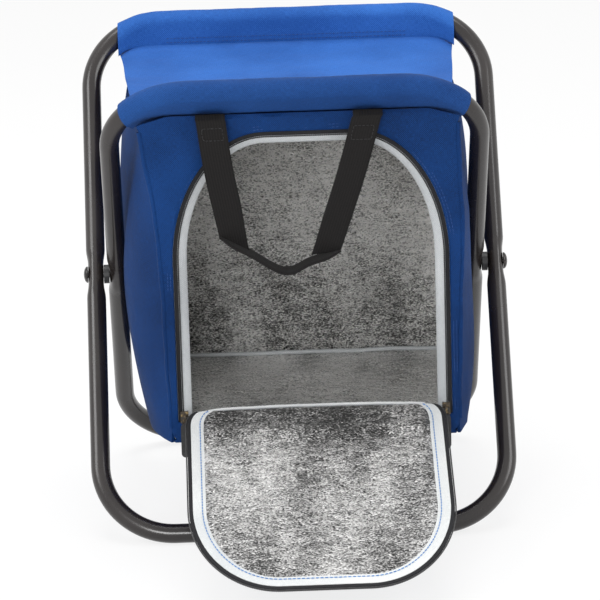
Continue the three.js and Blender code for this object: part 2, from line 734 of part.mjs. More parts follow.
stool.add(named('outer_loop', tubeLoop(outerWidth, outerBend, 1), blackPaint));
stool.add(named('inner_loop', tubeLoop(innerWidth, innerBend, -1), blackPaint));
for (const [name, side] of [['left', -1], ['right', 1]]) {
  stool.add(named(`pivot_rivet_${name}`, rivet(side), steel));
  stool.add(named(`pivot_spacer_${name}`, spacer(side), nylon));
}

stool.add(named('front_sleeve', sleeve(innerWidth, innerBend, -1, 7), blueCloth));
stool.add(named('rear_sleeve', sleeve(outerWidth, outerBend, 1, 4), blueCloth));
stool.add(named('seat_sling', sling(), blueCloth));

// What is flat on the front panel is placed from the panel's inner face and the fold line.
const front = new THREE.Group();
front.position.set(0, panelBack, lipHeight);
front.add(named('bag_front_panel', frontPanel(), blueCloth));
front.add(named('zip_tape_body', bodyBand(bodyTape, tapeNear, tapeNear + tapeThickness), zipTape));
front.add(named('zip_teeth_body', bodyBand(bodyTeeth, tapeNear / 3, tapeNear / 3 + toothHeight), zipTeeth));
const facing = [panelEdge + facingWidth, panelEdge];
front.add(named('opening_facing', bodyBand([facing[1], facing[0]], -clearance - facingThickness, -clearance), whiteBinding));
stool.add(front);

// Heights above the foot of the bag, and the steps by which one layer clears another
const lidUnder = topBarHeight - bagTopDrop - clothThickness - bagFloorHeight;
const foilFloor = clothThickness + clearance;
const foilLid = lidUnder - clearance - liningThickness;
const foilInset = clothThickness + 2 * clearance;
const behindFacing = facingThickness + clearance;
const clothLap = clothThickness + 4 * clearance;
const foilLap = foilInset + liningThickness + 4 * clearance;
for (const [name, side] of [['left', -1], ['right', 1]]) {
  const cloth = sideWall(side, 0, clothThickness, clearance, bagHeight - sideDrop);
  const inner = sideWall(side, foilInset, liningThickness, foilFloor, lidUnder - clearance);
  stool.add(named(`bag_side_${name}`, cloth, blueCloth));
  stool.add(named(`lining_side_${name}`, inner, foil));
}
stool.add(named('bag_back_panel', backSheet(0, 0, bagHeight, clothThickness), blueCloth));
stool.add(named('lining_back', backSheet(clothThickness + clearance, foilFloor, foilLid, liningThickness), foil));
stool.add(named('bag_floor', level(0, 0, clothLap, clothThickness), blueCloth));
stool.add(named('lining_floor', level(foilFloor / bagHeight, behindFacing, foilLap, liningThickness), foil));
stool.add(named('bag_top', level(lidUnder / bagHeight, behindFacing, clothLap, clothThickness), blueCloth));
stool.add(named('lining_top', level(foilLid / bagHeight, behindFacing, foilLap, liningThickness), foil));

// The door is drawn shut, then turned about the fold line to where it lies.
const door = new THREE.Group();
door.position.set(doorCentre, hingeY, lipHeight);
door.rotation.x = open;
const shut = new THREE.Group();
shut.position.y = hingeStandOff;
door.add(shut);
const plate = (inset) => new THREE.Shape(doorArch(inset));
const shellNear = bindingThickness + clearance;
const bindingInner = doorEdge + bindingWidth;
shut.add(named('door_shell', flat(plate(doorEdge), shellNear, shellNear + shellThickness, 0), blueCloth));
shut.add(named('door_lining', flat(plate(bindingInner + clearance), clearance, bindingThickness, 0), foil));
shut.add(named('door_binding', doorBand([doorEdge, bindingInner], 0, bindingThickness), whiteBinding));
shut.add(named('zip_tape_door', doorBand(doorTape, tapeNear, tapeNear + tapeThickness), zipTape));
shut.add(named('zip_teeth_door', doorBand(doorTeeth, tapeNear / 3, tapeNear / 3 + toothHeight), zipTeeth));
stool.add(door);

for (const [name, side] of [['left', -1], ['right', 1]]) {
  const at = new THREE.Group();
  at.position.set(doorCentre + side * chainHalf, panelBack, lipHeight - zipFoot + sliderLength / 2);
  at.add(named(`zip_slider_${name}`, slider(), sliderMetal));
  const hung = named(`zip_pull_${name}`, pull(), webbing);
  hung.position.y = -(bridgeFoot + bridgeRoom / 2);
  at.add(hung);
  stool.add(at);
}
stool.add(named('carry_handle', handle(), webbing));

export default stool;
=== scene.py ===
"""Dress the folding cooler stool: painted tube, woven cloth, crinkled foil, zips and webbing.

Sizes are millimetres about the pivot line: X across, Y back from the rivets, Z up from the floor.
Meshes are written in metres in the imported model's frame.
"""
import json
import logging
import math
from dataclasses import dataclass
from enum import Enum
from typing import Callable, Iterable, Sequence

import bmesh
import bpy
from mathutils import Matrix, Vector, noise


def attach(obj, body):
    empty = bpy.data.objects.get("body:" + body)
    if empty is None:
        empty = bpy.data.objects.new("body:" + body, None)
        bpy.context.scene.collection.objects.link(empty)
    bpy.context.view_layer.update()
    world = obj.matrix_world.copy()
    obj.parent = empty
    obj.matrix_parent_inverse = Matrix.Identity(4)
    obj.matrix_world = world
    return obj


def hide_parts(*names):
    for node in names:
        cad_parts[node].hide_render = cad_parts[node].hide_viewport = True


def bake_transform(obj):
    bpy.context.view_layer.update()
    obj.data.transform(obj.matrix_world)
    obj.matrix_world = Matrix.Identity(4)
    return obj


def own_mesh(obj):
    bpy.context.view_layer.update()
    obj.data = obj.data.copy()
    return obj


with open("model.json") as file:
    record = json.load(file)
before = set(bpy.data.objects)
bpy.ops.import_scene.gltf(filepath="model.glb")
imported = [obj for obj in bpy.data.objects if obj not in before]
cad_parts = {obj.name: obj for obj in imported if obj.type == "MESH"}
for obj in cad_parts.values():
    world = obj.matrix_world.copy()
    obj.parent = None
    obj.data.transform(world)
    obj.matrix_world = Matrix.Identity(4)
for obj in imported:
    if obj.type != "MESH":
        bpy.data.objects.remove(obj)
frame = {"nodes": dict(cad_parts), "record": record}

LOG = logging.getLogger("stool")
MM = 0.001
GAP = 0.3  # clearance between pieces that touch
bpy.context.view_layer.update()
FOLD = next(j for j in frame["record"]["behaviour"]["joints"] if j["name"] == "fold")
SHIFT = FOLD["pos_m"][1] / MM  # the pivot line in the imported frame
Material = bpy.types.Material
Piece = bpy.types.Object
Socket = bpy.types.NodeSocket
Point = Sequence[float]
Placer = Callable[[float, float, float], Vector]
Curve = list[tuple[float, float]]
Colour = tuple[float, float, float, float]


class Body(Enum):
    """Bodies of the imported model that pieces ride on."""

    OUTER = "outer_frame"
    INNER = "inner_frame"
    FRONT = "bag_front"
    BACK = "bag_back"
    DOOR = "door"
    HANDLE = "handle"


class Value:
    """A number socket that does arithmetic by adding Math nodes."""

    def __init__(self, nodes: "Nodes", socket: Socket) -> None:
        """Wrap a socket of the given nodes."""
        self.nodes = nodes
        self.socket = socket

    def math(self, operation: str, other: "Value | float | None" = None, swap: bool = False) -> "Value":
        """Add one Math node.

        Args:
            operation: The node's operation.
            other: The second operand, if the operation takes one.
            swap: Whether the other operand comes first.

        Returns:
            The node's result.
        """
        terms = [self] if other is None else [other, self] if swap else [self, other]
        made = self.nodes.node("ShaderNodeMath", {"operation": operation}, dict(enumerate(terms)))
        return Value(self.nodes, made.outputs[0])

    def __add__(self, other: "Value | float") -> "Value":
        """Return the sum."""
        return self.math("ADD", other)

    __radd__ = __add__

    def __sub__(self, other: "Value | float") -> "Value":
        """Return the difference."""
        return self.math("SUBTRACT", other)

    def __rsub__(self, other: "Value | float") -> "Value":
        """Return the difference with the operands swapped."""
        return self.math("SUBTRACT", other, swap=True)

    def __mul__(self, other: "Value | float") -> "Value":
        """Return the product."""
        return self.math("MULTIPLY", other)

    __rmul__ = __mul__

    def sine(self) -> "Value":
        """Return the sine."""
        return self.math("SINE")

    def absolute(self) -> "Value":
        """Return the absolute value."""
        return self.math("ABSOLUTE")

    def ramp(self, low: float, high: float) -> "Value":
        """Return 0 at low, 1 at high, smooth between and held outside.

        Args:
            low: Where it is 0.
            high: Where it is 1.

        Returns:
            The node's result.
        """
        settings = {"interpolation_type": "SMOOTHSTEP"}
        made = self.nodes.node("ShaderNodeMapRange", settings, {"Value": self, 1: low, 2: high})
        return Value(self.nodes, made.outputs[0])


class Nodes:
    """Adds nodes to one node tree."""

    def __init__(self, tree: bpy.types.NodeTree) -> None:
        """Work on the given tree."""
        self.tree = tree

    def node(self, kind: str, settings: dict | None = None, sockets: dict | None = None) -> bpy.types.Node:
        """Add a node.

        Args:
            kind: The node's type.
            settings: Attributes, set before the sockets.
            sockets: Values or links by socket name or number.

        Returns:
            The node.
        """
        made = self.tree.nodes.new(kind)
        for key, value in (settings or {}).items():
            setattr(made, key, value)
        for key, value in (sockets or {}).items():
            self.feed(made.inputs[key], value)
        return made

    def feed(self, socket: Socket, value: object) -> None:
        """Link a socket to a value or set it to a constant.

        Args:
            socket: The socket.
            value: A value, an output or a constant.
        """
        if isinstance(value, Value):
            value = value.socket
        if isinstance(value, Socket):
            self.tree.links.new(value, socket)
        else:
            socket.default_value = value


class Shader(Nodes):
    """Builds one material around a Principled shader."""

    def __init__(self, name: str, **constants: object) -> None:
        """Start a material whose Principled sockets hold the given constants.

        Args:
            name: The material's name.
            **constants: Sockets' names in small letters, and their values.
        """
        self.material = bpy.data.materials.new(name)
        self.material.use_nodes = True
        super().__init__(self.material.node_tree)
        self.bsdf = next(n for n in self.tree.nodes if n.type == "BSDF_PRINCIPLED")
        for key, value in constants.items():
            self.bsdf.inputs[key.replace("_", " ").title().replace("Ior", "IOR")].default_value = value

    def uv(self) -> tuple[Value, Value, Socket]:
        """Return the two surface coordinates, in metres, and the vector that holds them.

        Returns:
            The coordinate across, the coordinate along and the vector.
        """
        vector = self.node("ShaderNodeTexCoord").outputs["UV"]
        split = self.node("ShaderNodeSeparateXYZ", None, {0: vector})
        return Value(self, split.outputs[0]), Value(self, split.outputs[1]), vector

    def place(self) -> Socket:
        """Return the point's place in the object, in metres."""
        return self.node("ShaderNodeTexCoord").outputs["Object"]

    def stretched(self, vector: Socket, scale: Point) -> Socket:
        """Return a vector scaled along its axes."""
        made = self.node("ShaderNodeVectorMath", {"operation": "MULTIPLY"}, {0: vector, 1: tuple(scale)})
        return made.outputs[0]

    def noise(self, vector: Socket, scale: float, detail: float = 2.0,
              rough: float = 0.5) -> Value:
        """Return fractal noise about 0.5.

        Args:
            vector: Where it is taken.
            scale: Cycles a metre.
            detail: Finer octaves added.
            rough: Their strength.

        Returns:
            The noise.
        """
        sockets = {"Vector": vector, "Scale": scale, "Detail": detail, "Roughness": rough}
        return Value(self, self.node("ShaderNodeTexNoise", None, sockets).outputs[0])

    def cells(self, vector: Socket, scale: float) -> tuple[Value, Value]:
        """Return a random number for each cell and the distance to the cell's edge.

        Args:
            vector: Where they are taken.
            scale: Cells a metre.

        Returns:
            The random number and the distance.
        """
        sockets = {"Vector": vector, "Scale": scale}
        made = self.node("ShaderNodeTexVoronoi", {"feature": "F1"}, sockets)
        split = self.node("ShaderNodeSeparateColor", None, {0: made.outputs["Color"]})
        edge = self.node("ShaderNodeTexVoronoi", {"feature": "DISTANCE_TO_EDGE"}, sockets)
        return Value(self, split.outputs[0]), Value(self, edge.outputs["Distance"])

    def mix(self, factor: Value, low: object, high: object) -> Socket:
        """Return a colour between two colours."""
        made = self.node("ShaderNodeMix", {"data_type": "RGBA"}, {0: factor, 6: low, 7: high})
        return made.outputs[2]

    def colour(self, value: object) -> None:
        """Feed the base colour."""
        self.feed(self.bsdf.inputs["Base Color"], value)

    def roughness(self, value: Value) -> None:
        """Feed the roughness."""
        self.feed(self.bsdf.inputs["Roughness"], value)

    def bump(self, height: Value, distance: float) -> None:
        """Feed the normal from a height; distance is what a height of 1 stands for, in metres."""
        sockets = {"Height": height, "Distance": distance, "Strength": 1.0}
        self.feed(self.bsdf.inputs["Normal"], self.node("ShaderNodeBump", None, sockets).outputs[0])


@dataclass(frozen=True)
class FramePaint:
    """Gloss black-brown paint on steel tube, worn a little along its length."""

    tint: Colour = (0.0125, 0.0095, 0.0090, 1)
    worn: Colour = (0.026, 0.021, 0.0195, 1)

    def make(self, name: str) -> Material:
        """Return the material.

        Args:
            name: The material's name.

        Returns:
            The material.
        """
        s = Shader(name, metallic=0.0, specular_ior_level=0.5, coat_weight=0.15, coat_roughness=0.1)
        at = s.place()
        cloud = s.noise(at, 14, 4).ramp(0.35, 0.7)
        fine = s.noise(at, 900, 2)
        scuff = s.noise(s.stretched(at, (60, 60, 9)), 9, 5, 0.7).ramp(0.66, 0.72)
        s.colour(s.mix(cloud * 0.6 + scuff * 0.4, self.tint, self.worn))
        s.roughness(0.20 + cloud * 0.10 + scuff * 0.2)
        s.bump(fine * 0.6 + cloud, 0.00003)
        return s.material


@dataclass(frozen=True)
class WovenCloth:
    """Plain-weave coated cloth: threads, slubs and soft broad patches in the colour, partly random tone and
    partly painted fold shading.
    """

    deep: Colour
    light: Colour
    pitch: float = 0.00085
    sheen: float = 0.03
    rough: float = 0.72
    relief: float = 0.00016

    def make(self, name: str) -> Material:
        """Return the material.

        Args:
            name: The material's name.

        Returns:
            The material.
        """
        s = Shader(name, sheen_weight=self.sheen, sheen_roughness=0.4, specular_ior_level=0.11)
        across, along, vector = s.uv()
        turn = math.pi / self.pitch
        weave = (across * turn).sine() * (along * turn).sine()
        thread = (across * (turn / 2)).sine().absolute() + (along * (turn / 2)).sine().absolute()
        slub = s.noise(s.stretched(vector, (1, 9, 1)), 260, 3)
        slub_across = s.noise(s.stretched(vector, (9, 1, 1)), 260, 3)
        grain = slub * 0.5 + slub_across * 0.5
        # Broad patches: partly random tone, partly painted shading of folds.
        broad = s.noise(s.place(), 11, 3)
        tone_and_painted_shade = (grain - 0.5) * 2.2 + (broad - 0.5) * 1.5 + weave * 0.45 + 0.5
        s.colour(s.mix(tone_and_painted_shade.ramp(-0.1, 1.1), self.deep, self.light))
        s.roughness(self.rough + (grain - 0.5) * 0.3)
        s.bump(weave * 0.5 + thread * 0.25 + grain * 1.2, self.relief)
        return s.material


@dataclass(frozen=True)
class Foil:
    """Aluminised film on thin foam: small embossed cells and longer creases in its relief, with its
    reflections painted into the colour as glints on the cells, highlights along the creases and soft
    highlight streaks.

    Painted shade darkens it towards its lower edge, over 1 / rise metres.
    """

    dark_reflection: Colour
    level: float
    painted_shade: float
    metallic: float
    glint_colour: Colour = (0.98, 0.97, 0.95, 1)
    contrast: float = 2.8
    rise: float = 6.0
    pitch: float = 0.0016

    def make(self, name: str) -> Material:
        """Return the material.

        Args:
            name: The material's name.

        Returns:
            The material.
        """
        s = Shader(name, metallic=self.metallic, specular_ior_level=0.6)
        _, along, vector = s.uv()
        wobble = s.node("ShaderNodeTexNoise", None, {"Vector": vector, "Scale": 90.0, "Detail": 2.0})
        scaled = {0: wobble.outputs["Color"], "Scale": 0.004}
        lean = s.node("ShaderNodeVectorMath", {"operation": "SCALE"}, scaled)
        moved = {0: vector, 1: lean.outputs[0]}
        warped = s.node("ShaderNodeVectorMath", {"operation": "ADD"}, moved).outputs[0]
        crush = s.noise(s.stretched(warped, (1.0, 2.1, 1)), 0.8 / self.pitch, 2, 0.6)
        random, edge = s.cells(s.stretched(warped, (1.0, 1.6, 1)), 1 / self.pitch)
        fine = s.noise(warped, 1100, 2, 0.6)
        folds = s.noise(s.stretched(warped, (1, 1.9, 1)), 46, 3, 0.6)
        crease = ((folds - 0.5).absolute() * 9.0).ramp(1.0, 0.0)
        highlight_streaks = s.noise(s.stretched(vector, (1, 0.3, 1)), 22, 1)
        # Painted reflections: glints from the cells and the fine noise, highlights along the creases and soft
        # highlight streaks.
        shine = ((crush - 0.5) * self.contrast + (random - 0.5) * 0.3 + (fine - 0.5) * 0.5 + crease * 0.25
                 + (highlight_streaks - 0.5) * 1.25)
        # Painted shade: darker towards the lower edge.
        low = (along * -self.rise + 1.0).ramp(0.0, 1.0) * self.painted_shade
        s.colour(s.mix((shine + self.level - low).ramp(0.0, 1.0), self.dark_reflection, self.glint_colour))
        s.roughness(0.24 + random * 0.24)
        s.bump(crush * 2.2 + edge.ramp(0, 0.25) * 0.3 + crease * 1.0 + fine * 0.3, 0.0009)
        return s.material


@dataclass(frozen=True)
class Webbing:
    """Ribbed webbing or tape: lengthwise ribs crossed by fine picks."""

    tint: Colour = (0.010, 0.010, 0.0115, 1)
    light: Colour = (0.030, 0.030, 0.033, 1)
    rib: float = 0.0022
    pick: float = 0.0011
    rough: float = 0.7

    def make(self, name: str) -> Material:
        """Return the material.

        Args:
            name: The material's name.

        Returns:
            The material.
        """
        s = Shader(name, sheen_weight=0.03, specular_ior_level=0.16)
        across, along, vector = s.uv()
        ribs = (across * (math.pi / self.rib)).sine().absolute()
        picks = (along * (math.pi / self.pick)).sine().absolute()
        fuzz = s.noise(vector, 700, 3)
        s.colour(s.mix((ribs * 0.5 + picks * 0.25 + (fuzz - 0.5)).ramp(0.2, 1.2), self.tint, self.light))
        s.roughness(self.rough + (fuzz - 0.5) * 0.3)
        s.bump(ribs * 0.7 + picks * 0.35 + fuzz * 0.5, 0.0002)
        return s.material


@dataclass(frozen=True)
class Moulded:
    """Small hard parts: plated zinc, nylon teeth or washers."""

    tint: Colour
    worn: Colour
    metallic: float = 0.0
    rough: float = 0.4

    def make(self, name: str) -> Material:
        """Return the material.

        Args:
            name: The material's name.

        Returns:
            The material.
        """
        s = Shader(name, metallic=self.metallic, specular_ior_level=0.5)
        at = s.place()
        wear = s.noise(at, 420, 4, 0.6)
        s.colour(s.mix(wear.ramp(0.5, 0.75), self.tint, self.worn))
        s.roughness(self.rough + (wear - 0.5) * 0.3)
        s.bump(wear, 0.00005)
        return s.material


# The darker, shaded copy of the blue cloth, for the bag's panels and piping.
SHADED_BLUE_DEEP = (0.0012, 0.0115, 0.052, 1)
SHADED_BLUE_LIGHT = (0.0062, 0.046, 0.186, 1)


class Finishes:
    """All materials of the stool, made once."""

    def __init__(self) -> None:
        """Make the materials."""
        self.paint = FramePaint().make("frame_paint")
        # One blue cloth in lit and shaded copies: the seat and rear sleeve painted lightest, the front sleeve
        # darker, the bag's panels and piping darkest.
        self.lit_seat = WovenCloth((0.012, 0.066, 0.265, 1), (0.036, 0.150, 0.50, 1)).make("seat_cloth")
        self.sleeve = WovenCloth((0.005, 0.029, 0.122, 1), (0.016, 0.074, 0.265, 1)).make("shaded_sleeve_cloth")
        self.blue = WovenCloth(SHADED_BLUE_DEEP, SHADED_BLUE_LIGHT, sheen=0.01).make("blue_cloth")
        self.piping = WovenCloth(SHADED_BLUE_DEEP, SHADED_BLUE_LIGHT, pitch=0.0005).make("blue_piping")
        # One foil film in two copies: the inside copy painted lighter, as painted light inside the hollow
        # bag; both painted darker towards their lower edge.
        self.foil = Foil((0.035, 0.035, 0.034, 1), 0.36, 0.36, 0.7, (0.80, 0.79, 0.78, 1), contrast=3.0,
                         rise=13.0).make("foil_door")
        self.lit_foil_inside = Foil((0.07, 0.069, 0.066, 1), 0.66, 0.32, 0.6).make("lit_foil_inside")
        self.white = WovenCloth((0.52, 0.54, 0.55, 1), (0.73, 0.74, 0.73, 1), sheen=0.02,
                                rough=0.6).make("white_cloth")
        # The opening's facing: the white binding painted darker, a shaded copy for the shade inside the
        # opening.
        self.facing = WovenCloth((0.40, 0.42, 0.44, 1), (0.62, 0.64, 0.65, 1), rough=0.5).make("shaded_facing_cloth")
        self.thread_blue = Moulded((0.06, 0.19, 0.46, 1), (0.14, 0.33, 0.62, 1),
                                   rough=0.8).make("blue_thread")
        self.thread_dark = Moulded((0.012, 0.05, 0.19, 1), (0.03, 0.10, 0.33, 1),
                                   rough=0.8).make("dark_thread")
        self.tape = Webbing(rib=0.0011).make("zip_tape")
        self.web = Webbing((0.004, 0.0035, 0.0035, 1), (0.015, 0.013, 0.013, 1)).make("webbing")
        self.teeth = Moulded((0.010, 0.010, 0.011, 1), (0.05, 0.05, 0.055, 1), rough=0.35).make("zip_teeth")
        self.zinc = Moulded((0.07, 0.058, 0.045, 1), (0.42, 0.30, 0.14, 1), 0.85, 0.3).make("slider_metal")
        self.steel = Moulded((0.018, 0.016, 0.016, 1), (0.06, 0.052, 0.048, 1), 0.3, 0.25).make("rivet_steel")
        self.nylon = Moulded((0.012, 0.012, 0.013, 1), (0.03, 0.03, 0.032, 1), rough=0.5).make("nylon")


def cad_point(x: float, y: float, z: float) -> tuple[float, float, float]:
    """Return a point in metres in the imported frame."""
    return (x * MM, (y + SHIFT) * MM, z * MM)


def mix(low: float, high: float, share: float) -> float:
    """Return the value at a share of the way from low to high."""
    return low + (high - low) * share


def smooth(share: float) -> float:
    """Return a smooth step from 0 to 1."""
    held = min(max(share, 0.0), 1.0)
    return held * held * (3 - 2 * held)


def ripple(x: float, y: float, z: float, octaves: int = 3) -> float:
    """Return fractal noise about zero; it is the same each run."""
    return noise.fractal(Vector((x, y, z)), 1.0, 2.0, octaves)


def linked(name: str, data: bpy.types.ID) -> Piece:
    """Return a new object that is in the scene.

    Args:
        name: The object's name.
        data: Its mesh, lamp or camera data.

    Returns:
        The object.
    """
    made = bpy.data.objects.new(name, data)
    bpy.context.scene.collection.objects.link(made)
    return made


def lattice(wide: int, tall: int, at: Callable[[int, int], Point]) -> list[list[Point]]:
    """Return rows of points, at(i, j) for column i of row j."""
    return [[at(i, j) for i in range(wide + 1)] for j in range(tall + 1)]


class MeshDraft:
    """Collects points, faces and surface coordinates, all in millimetres."""

    def __init__(self) -> None:
        """Start empty."""
        self.points: list[Vector] = []
        self.coords: Curve = []
        self.faces: list[tuple[int, ...]] = []

    def grid(self, rows: list[list[Point]], wrap: bool = False, join_ends: bool = False,
             coords: list[list[Point]] | None = None) -> None:
        """Add a surface through rows of points.

        Args:
            rows: Points, row by row.
            wrap: Whether each row closes on itself.
            join_ends: Whether the last row joins the first.
            coords: Surface coordinates, if not the distances along the rows.
        """
        base = len(self.points)
        width = len(rows[0])
        along = 0.0
        for j, row in enumerate(rows):
            if j:
                along += (Vector(row[0]) - Vector(rows[j - 1][0])).length
            across = 0.0
            for i, point in enumerate(row):
                if i:
                    across += (Vector(point) - Vector(row[i - 1])).length
                spot = coords[j][i] if coords else (across, along)
                self.points.append(Vector(point))
                self.coords.append((spot[0], spot[1]))
        spans = len(rows) if join_ends else len(rows) - 1
        for j in range(spans):
            for i in range(width if wrap else width - 1):
                a, b = j * width, ((j + 1) % len(rows)) * width
                k = (i + 1) % width
                self.faces.append((base + a + i, base + a + k, base + b + k, base + b + i))

    def caps(self, rows: list[list[Point]]) -> None:
        """Close both ends of the wrapped grid that was added last.

        Args:
            rows: The grid's rows.
        """
        width, total = len(rows[0]), len(self.points)
        first = total - width * len(rows)
        self.faces.append(tuple(reversed(range(first, first + width))))
        self.faces.append(tuple(range(total - width, total)))

    def join(self, width: int, rows: Iterable[int], offset: int) -> None:
        """Close the gap between two wrapped grids along some of their rows.

        Args:
            width: Points in a row.
            rows: The rows' numbers in the first grid.
            offset: From a point's number to its partner's in the second grid.
        """
        for row in rows:
            for k in range(width):
                a, b = row * width + k, row * width + (k + 1) % width
                self.faces.append((a, b, b + offset, a + offset))

    def build(self, name: str, material: Material, sharp: float = 40.0) -> Piece:
        """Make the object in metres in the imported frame.

        Args:
            name: The piece's name.
            material: Its material.
            sharp: Edges turning more than this many degrees stay crisp.

        Returns:
            The object.
        """
        mesh = bpy.data.meshes.new(name)
        places = [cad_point(*p) for p in self.points]
        mesh.from_pydata(places, [], self.faces)
        layer = mesh.uv_layers.new(name="surface")
        for loop in mesh.loops:
            u, v = self.coords[loop.vertex_index]
            layer.data[loop.index].uv = (u * MM, v * MM)
        work = bmesh.new()
        work.from_mesh(mesh)
        bmesh.ops.recalc_face_normals(work, faces=work.faces)
        for edge in work.edges:
            edge.smooth = len(edge.link_faces) != 2 or edge.calc_face_angle(0.0) < math.radians(sharp)
        for face in work.faces:
            face.smooth = True
        work.to_mesh(mesh)
        work.free()
        made = linked(name, mesh)
        made.data.materials.append(material)
        return made


def skin(rows: list[list[Point]], thickness: float) -> MeshDraft:
    """Return a closed sheet over a grid of points, thickened along its normals.

    Args:
        rows: Points, row by row.
        thickness: Thickness; its sign picks the side.

    Returns:
        The draft.
    """
    grid = [[Vector(p) for p in row] for row in rows]
    tall, wide = len(grid), len(grid[0])

    def normal(j: int, i: int) -> Vector:
        """Return the surface normal at a grid point.

        Args:
            j: The row.
            i: The column.

        Returns:
            The normal.
        """
        du = grid[j][min(i + 1, wide - 1)] - grid[j][max(i - 1, 0)]
        dv = grid[min(j + 1, tall - 1)][i] - grid[max(j - 1, 0)][i]
        return du.cross(dv).normalized()

    draft = MeshDraft()
    draft.grid(grid)
    far = [[p + normal(j, i) * thickness for i, p in enumerate(row)] for j, row in enumerate(grid)]
    draft.grid(far)
    total = wide * tall
    rim = list(range(wide)) + [j * wide + wide - 1 for j in range(1, tall)]
    rim += [(tall - 1) * wide + i for i in range(wide - 2, -1, -1)]
    rim += [j * wide for j in range(tall - 2, 0, -1)]
    for k, a in enumerate(rim):
        b = rim[(k + 1) % len(rim)]
        draft.faces.append((a, b, b + total, a + total))
    return draft


def sweep(path: list[Vector], section: Callable[[int], Curve], up: Point) -> MeshDraft:
    """Sweep a section along a path and close its ends.

    Args:
        path: Points of the path.
        section: Gives the section's points (sideways, up) at each path point.
        up: Roughly the section's up direction.

    Returns:
        The draft.
    """
    rows, last = [], len(path) - 1
    for i, at in enumerate(path):
        tangent = (path[min(i + 1, last)] - path[max(i - 1, 0)]).normalized()
        side = tangent.cross(Vector(up)).normalized()
        rise = side.cross(tangent)
        rows.append([at + side * a + rise * b for a, b in section(i)])
    draft = MeshDraft()
    draft.grid(rows, wrap=True)
    draft.caps(rows)
    return draft


def circle(radius: float, count: int) -> Curve:
    """Return the points of a circle."""
    turns = (2 * math.pi * k / count for k in range(count))
    return [(radius * math.cos(t), radius * math.sin(t)) for t in turns]


def resample(path: Iterable[Point], step: float) -> list[Vector]:
    """Return points every step or so along a polyline, ends kept.

    Args:
        path: Points of the polyline.
        step: Wanted distance between points.

    Returns:
        The points.
    """
    points = [Vector(p) for p in path]
    lengths = [(b - a).length for a, b in zip(points, points[1:])]
    total = sum(lengths)
    count = max(2, round(total / step))
    found, walked, i = [], 0.0, 0
    for k in range(count + 1):
        goal = total * k / count
        while i < len(lengths) - 1 and walked + lengths[i] < goal:
            walked += lengths[i]
            i += 1
        found.append(points[i].lerp(points[i + 1], min(1.0, (goal - walked) / max(lengths[i], 1e-9))))
    return found


def stitches(name: str, path: Iterable[Point], material: Material, pitch: float = 3.2,
             length: float = 2.3, radius: float = 0.32) -> Piece:
    """Make a row of thread stitches that lie on a path.

    Args:
        name: The piece's name.
        path: The stitch line, on the cloth.
        material: Thread.
        pitch: From stitch to stitch.
        length: Length of a stitch that shows.
        radius: Thread radius.

    Returns:
        The object.
    """
    line = resample(path, pitch)
    draft = MeshDraft()
    for a, b in zip(line, line[1:]):
        way = (b - a).normalized()
        side = way.cross(Vector((0.31, 0.53, 0.79))).normalized()
        rise = side.cross(way)
        centre = (a + b) / 2
        rows = []
        for share, grow in ((-0.5, 0.35), (-0.3, 1.0), (0.3, 1.0), (0.5, 0.35)):
            at = centre + way * (share * length)
            ring = circle(radius * grow, 5)
            rows.append([at + side * p + rise * q for p, q in ring])
        draft.grid(rows, wrap=True)
        draft.caps(rows)
    return draft.build(name, material)


def band(name: str, outer: list, inner: list, near: float, far: float, crown: float, place: Placer,
         finish: Material, lean: float = 0.0) -> Piece:
    """Make a flat band between two curves, a little crowned on its two faces.

    Args:
        name: The piece's name.
        outer: One edge: across and up.
        inner: The other edge, with as many points.
        near: Its inner face.
        far: Its outer face.
        crown: How much the middle swells.
        place: Gives a point from across, distance out and up.
        finish: Its material.
        lean: How far the inner edge turns back.

    Returns:
        The object.
    """
    rows, coords, along = [], [], 0.0
    shares = (0, 0.12, 0.3, 0.5, 0.7, 0.88, 1)
    for i, (a, b) in enumerate(zip(outer, inner)):
        if i:
            along += math.dist(a, outer[i - 1])
        width = math.dist(a, b)
        spot = [(mix(a[0], b[0], s), mix(a[1], b[1], s), s) for s in shares]
        wave = 0.35 * ripple(i * 0.11, near, 2.0) * min(1.0, crown * 4)
        lift = [crown * (1 - abs(2 * s - 1) ** 3) + wave * (s > 0.05) - lean * s * s for _, _, s in spot]
        upper = [place(x, far + h, y) for (x, y, _), h in zip(spot, lift)]
        lower = [place(x, near - h * 0.5 - lean * s * s * 1.5, y) for (x, y, s), h in zip(spot, lift)]
        rows.append(upper + lower[::-1])
        coords.append([(s * width, along) for s in shares] + [(s * width, along) for s in reversed(shares)])
    draft = MeshDraft()
    draft.grid(rows, wrap=True, coords=coords)
    draft.caps(rows)
    return draft.build(name, finish)


def coil(name: str, middle: list, half: float, near: float, far: float, place: Placer,
         finish: Material, pitch: float = 1.5) -> Piece:
    """Make a row of zip teeth along a curve: one bead for each tooth on a common spine.

    Args:
        name: The piece's name.
        middle: The curve: across and up.
        half: Half the row's width.
        near: Its inner face.
        far: Its outer face.
        place: Gives a point from across, distance out and up.
        finish: Its material.
        pitch: From tooth to tooth.

    Returns:
        The object.
    """
    line = resample([(x, y, 0) for x, y in middle], pitch / 4)
    rows = []
    depth, centre = (far - near) / 2, (far + near) / 2
    for i, at in enumerate(line):
        way = (line[min(i + 1, len(line) - 1)] - line[max(i - 1, 0)]).normalized()
        side = Vector((-way.y, way.x, 0))
        size = (0.62, 0.92, 1.0, 0.92)[i % 4]
        ring = []
        for a, b in circle(1.0, 6):
            spot = at + side * (a * half * size)
            ring.append(place(spot.x, centre + b * depth * size, spot.y))
        rows.append(ring)
    draft = MeshDraft()
    draft.grid(rows, wrap=True)
    draft.caps(rows)
    return draft.build(name, finish, sharp=80.0)


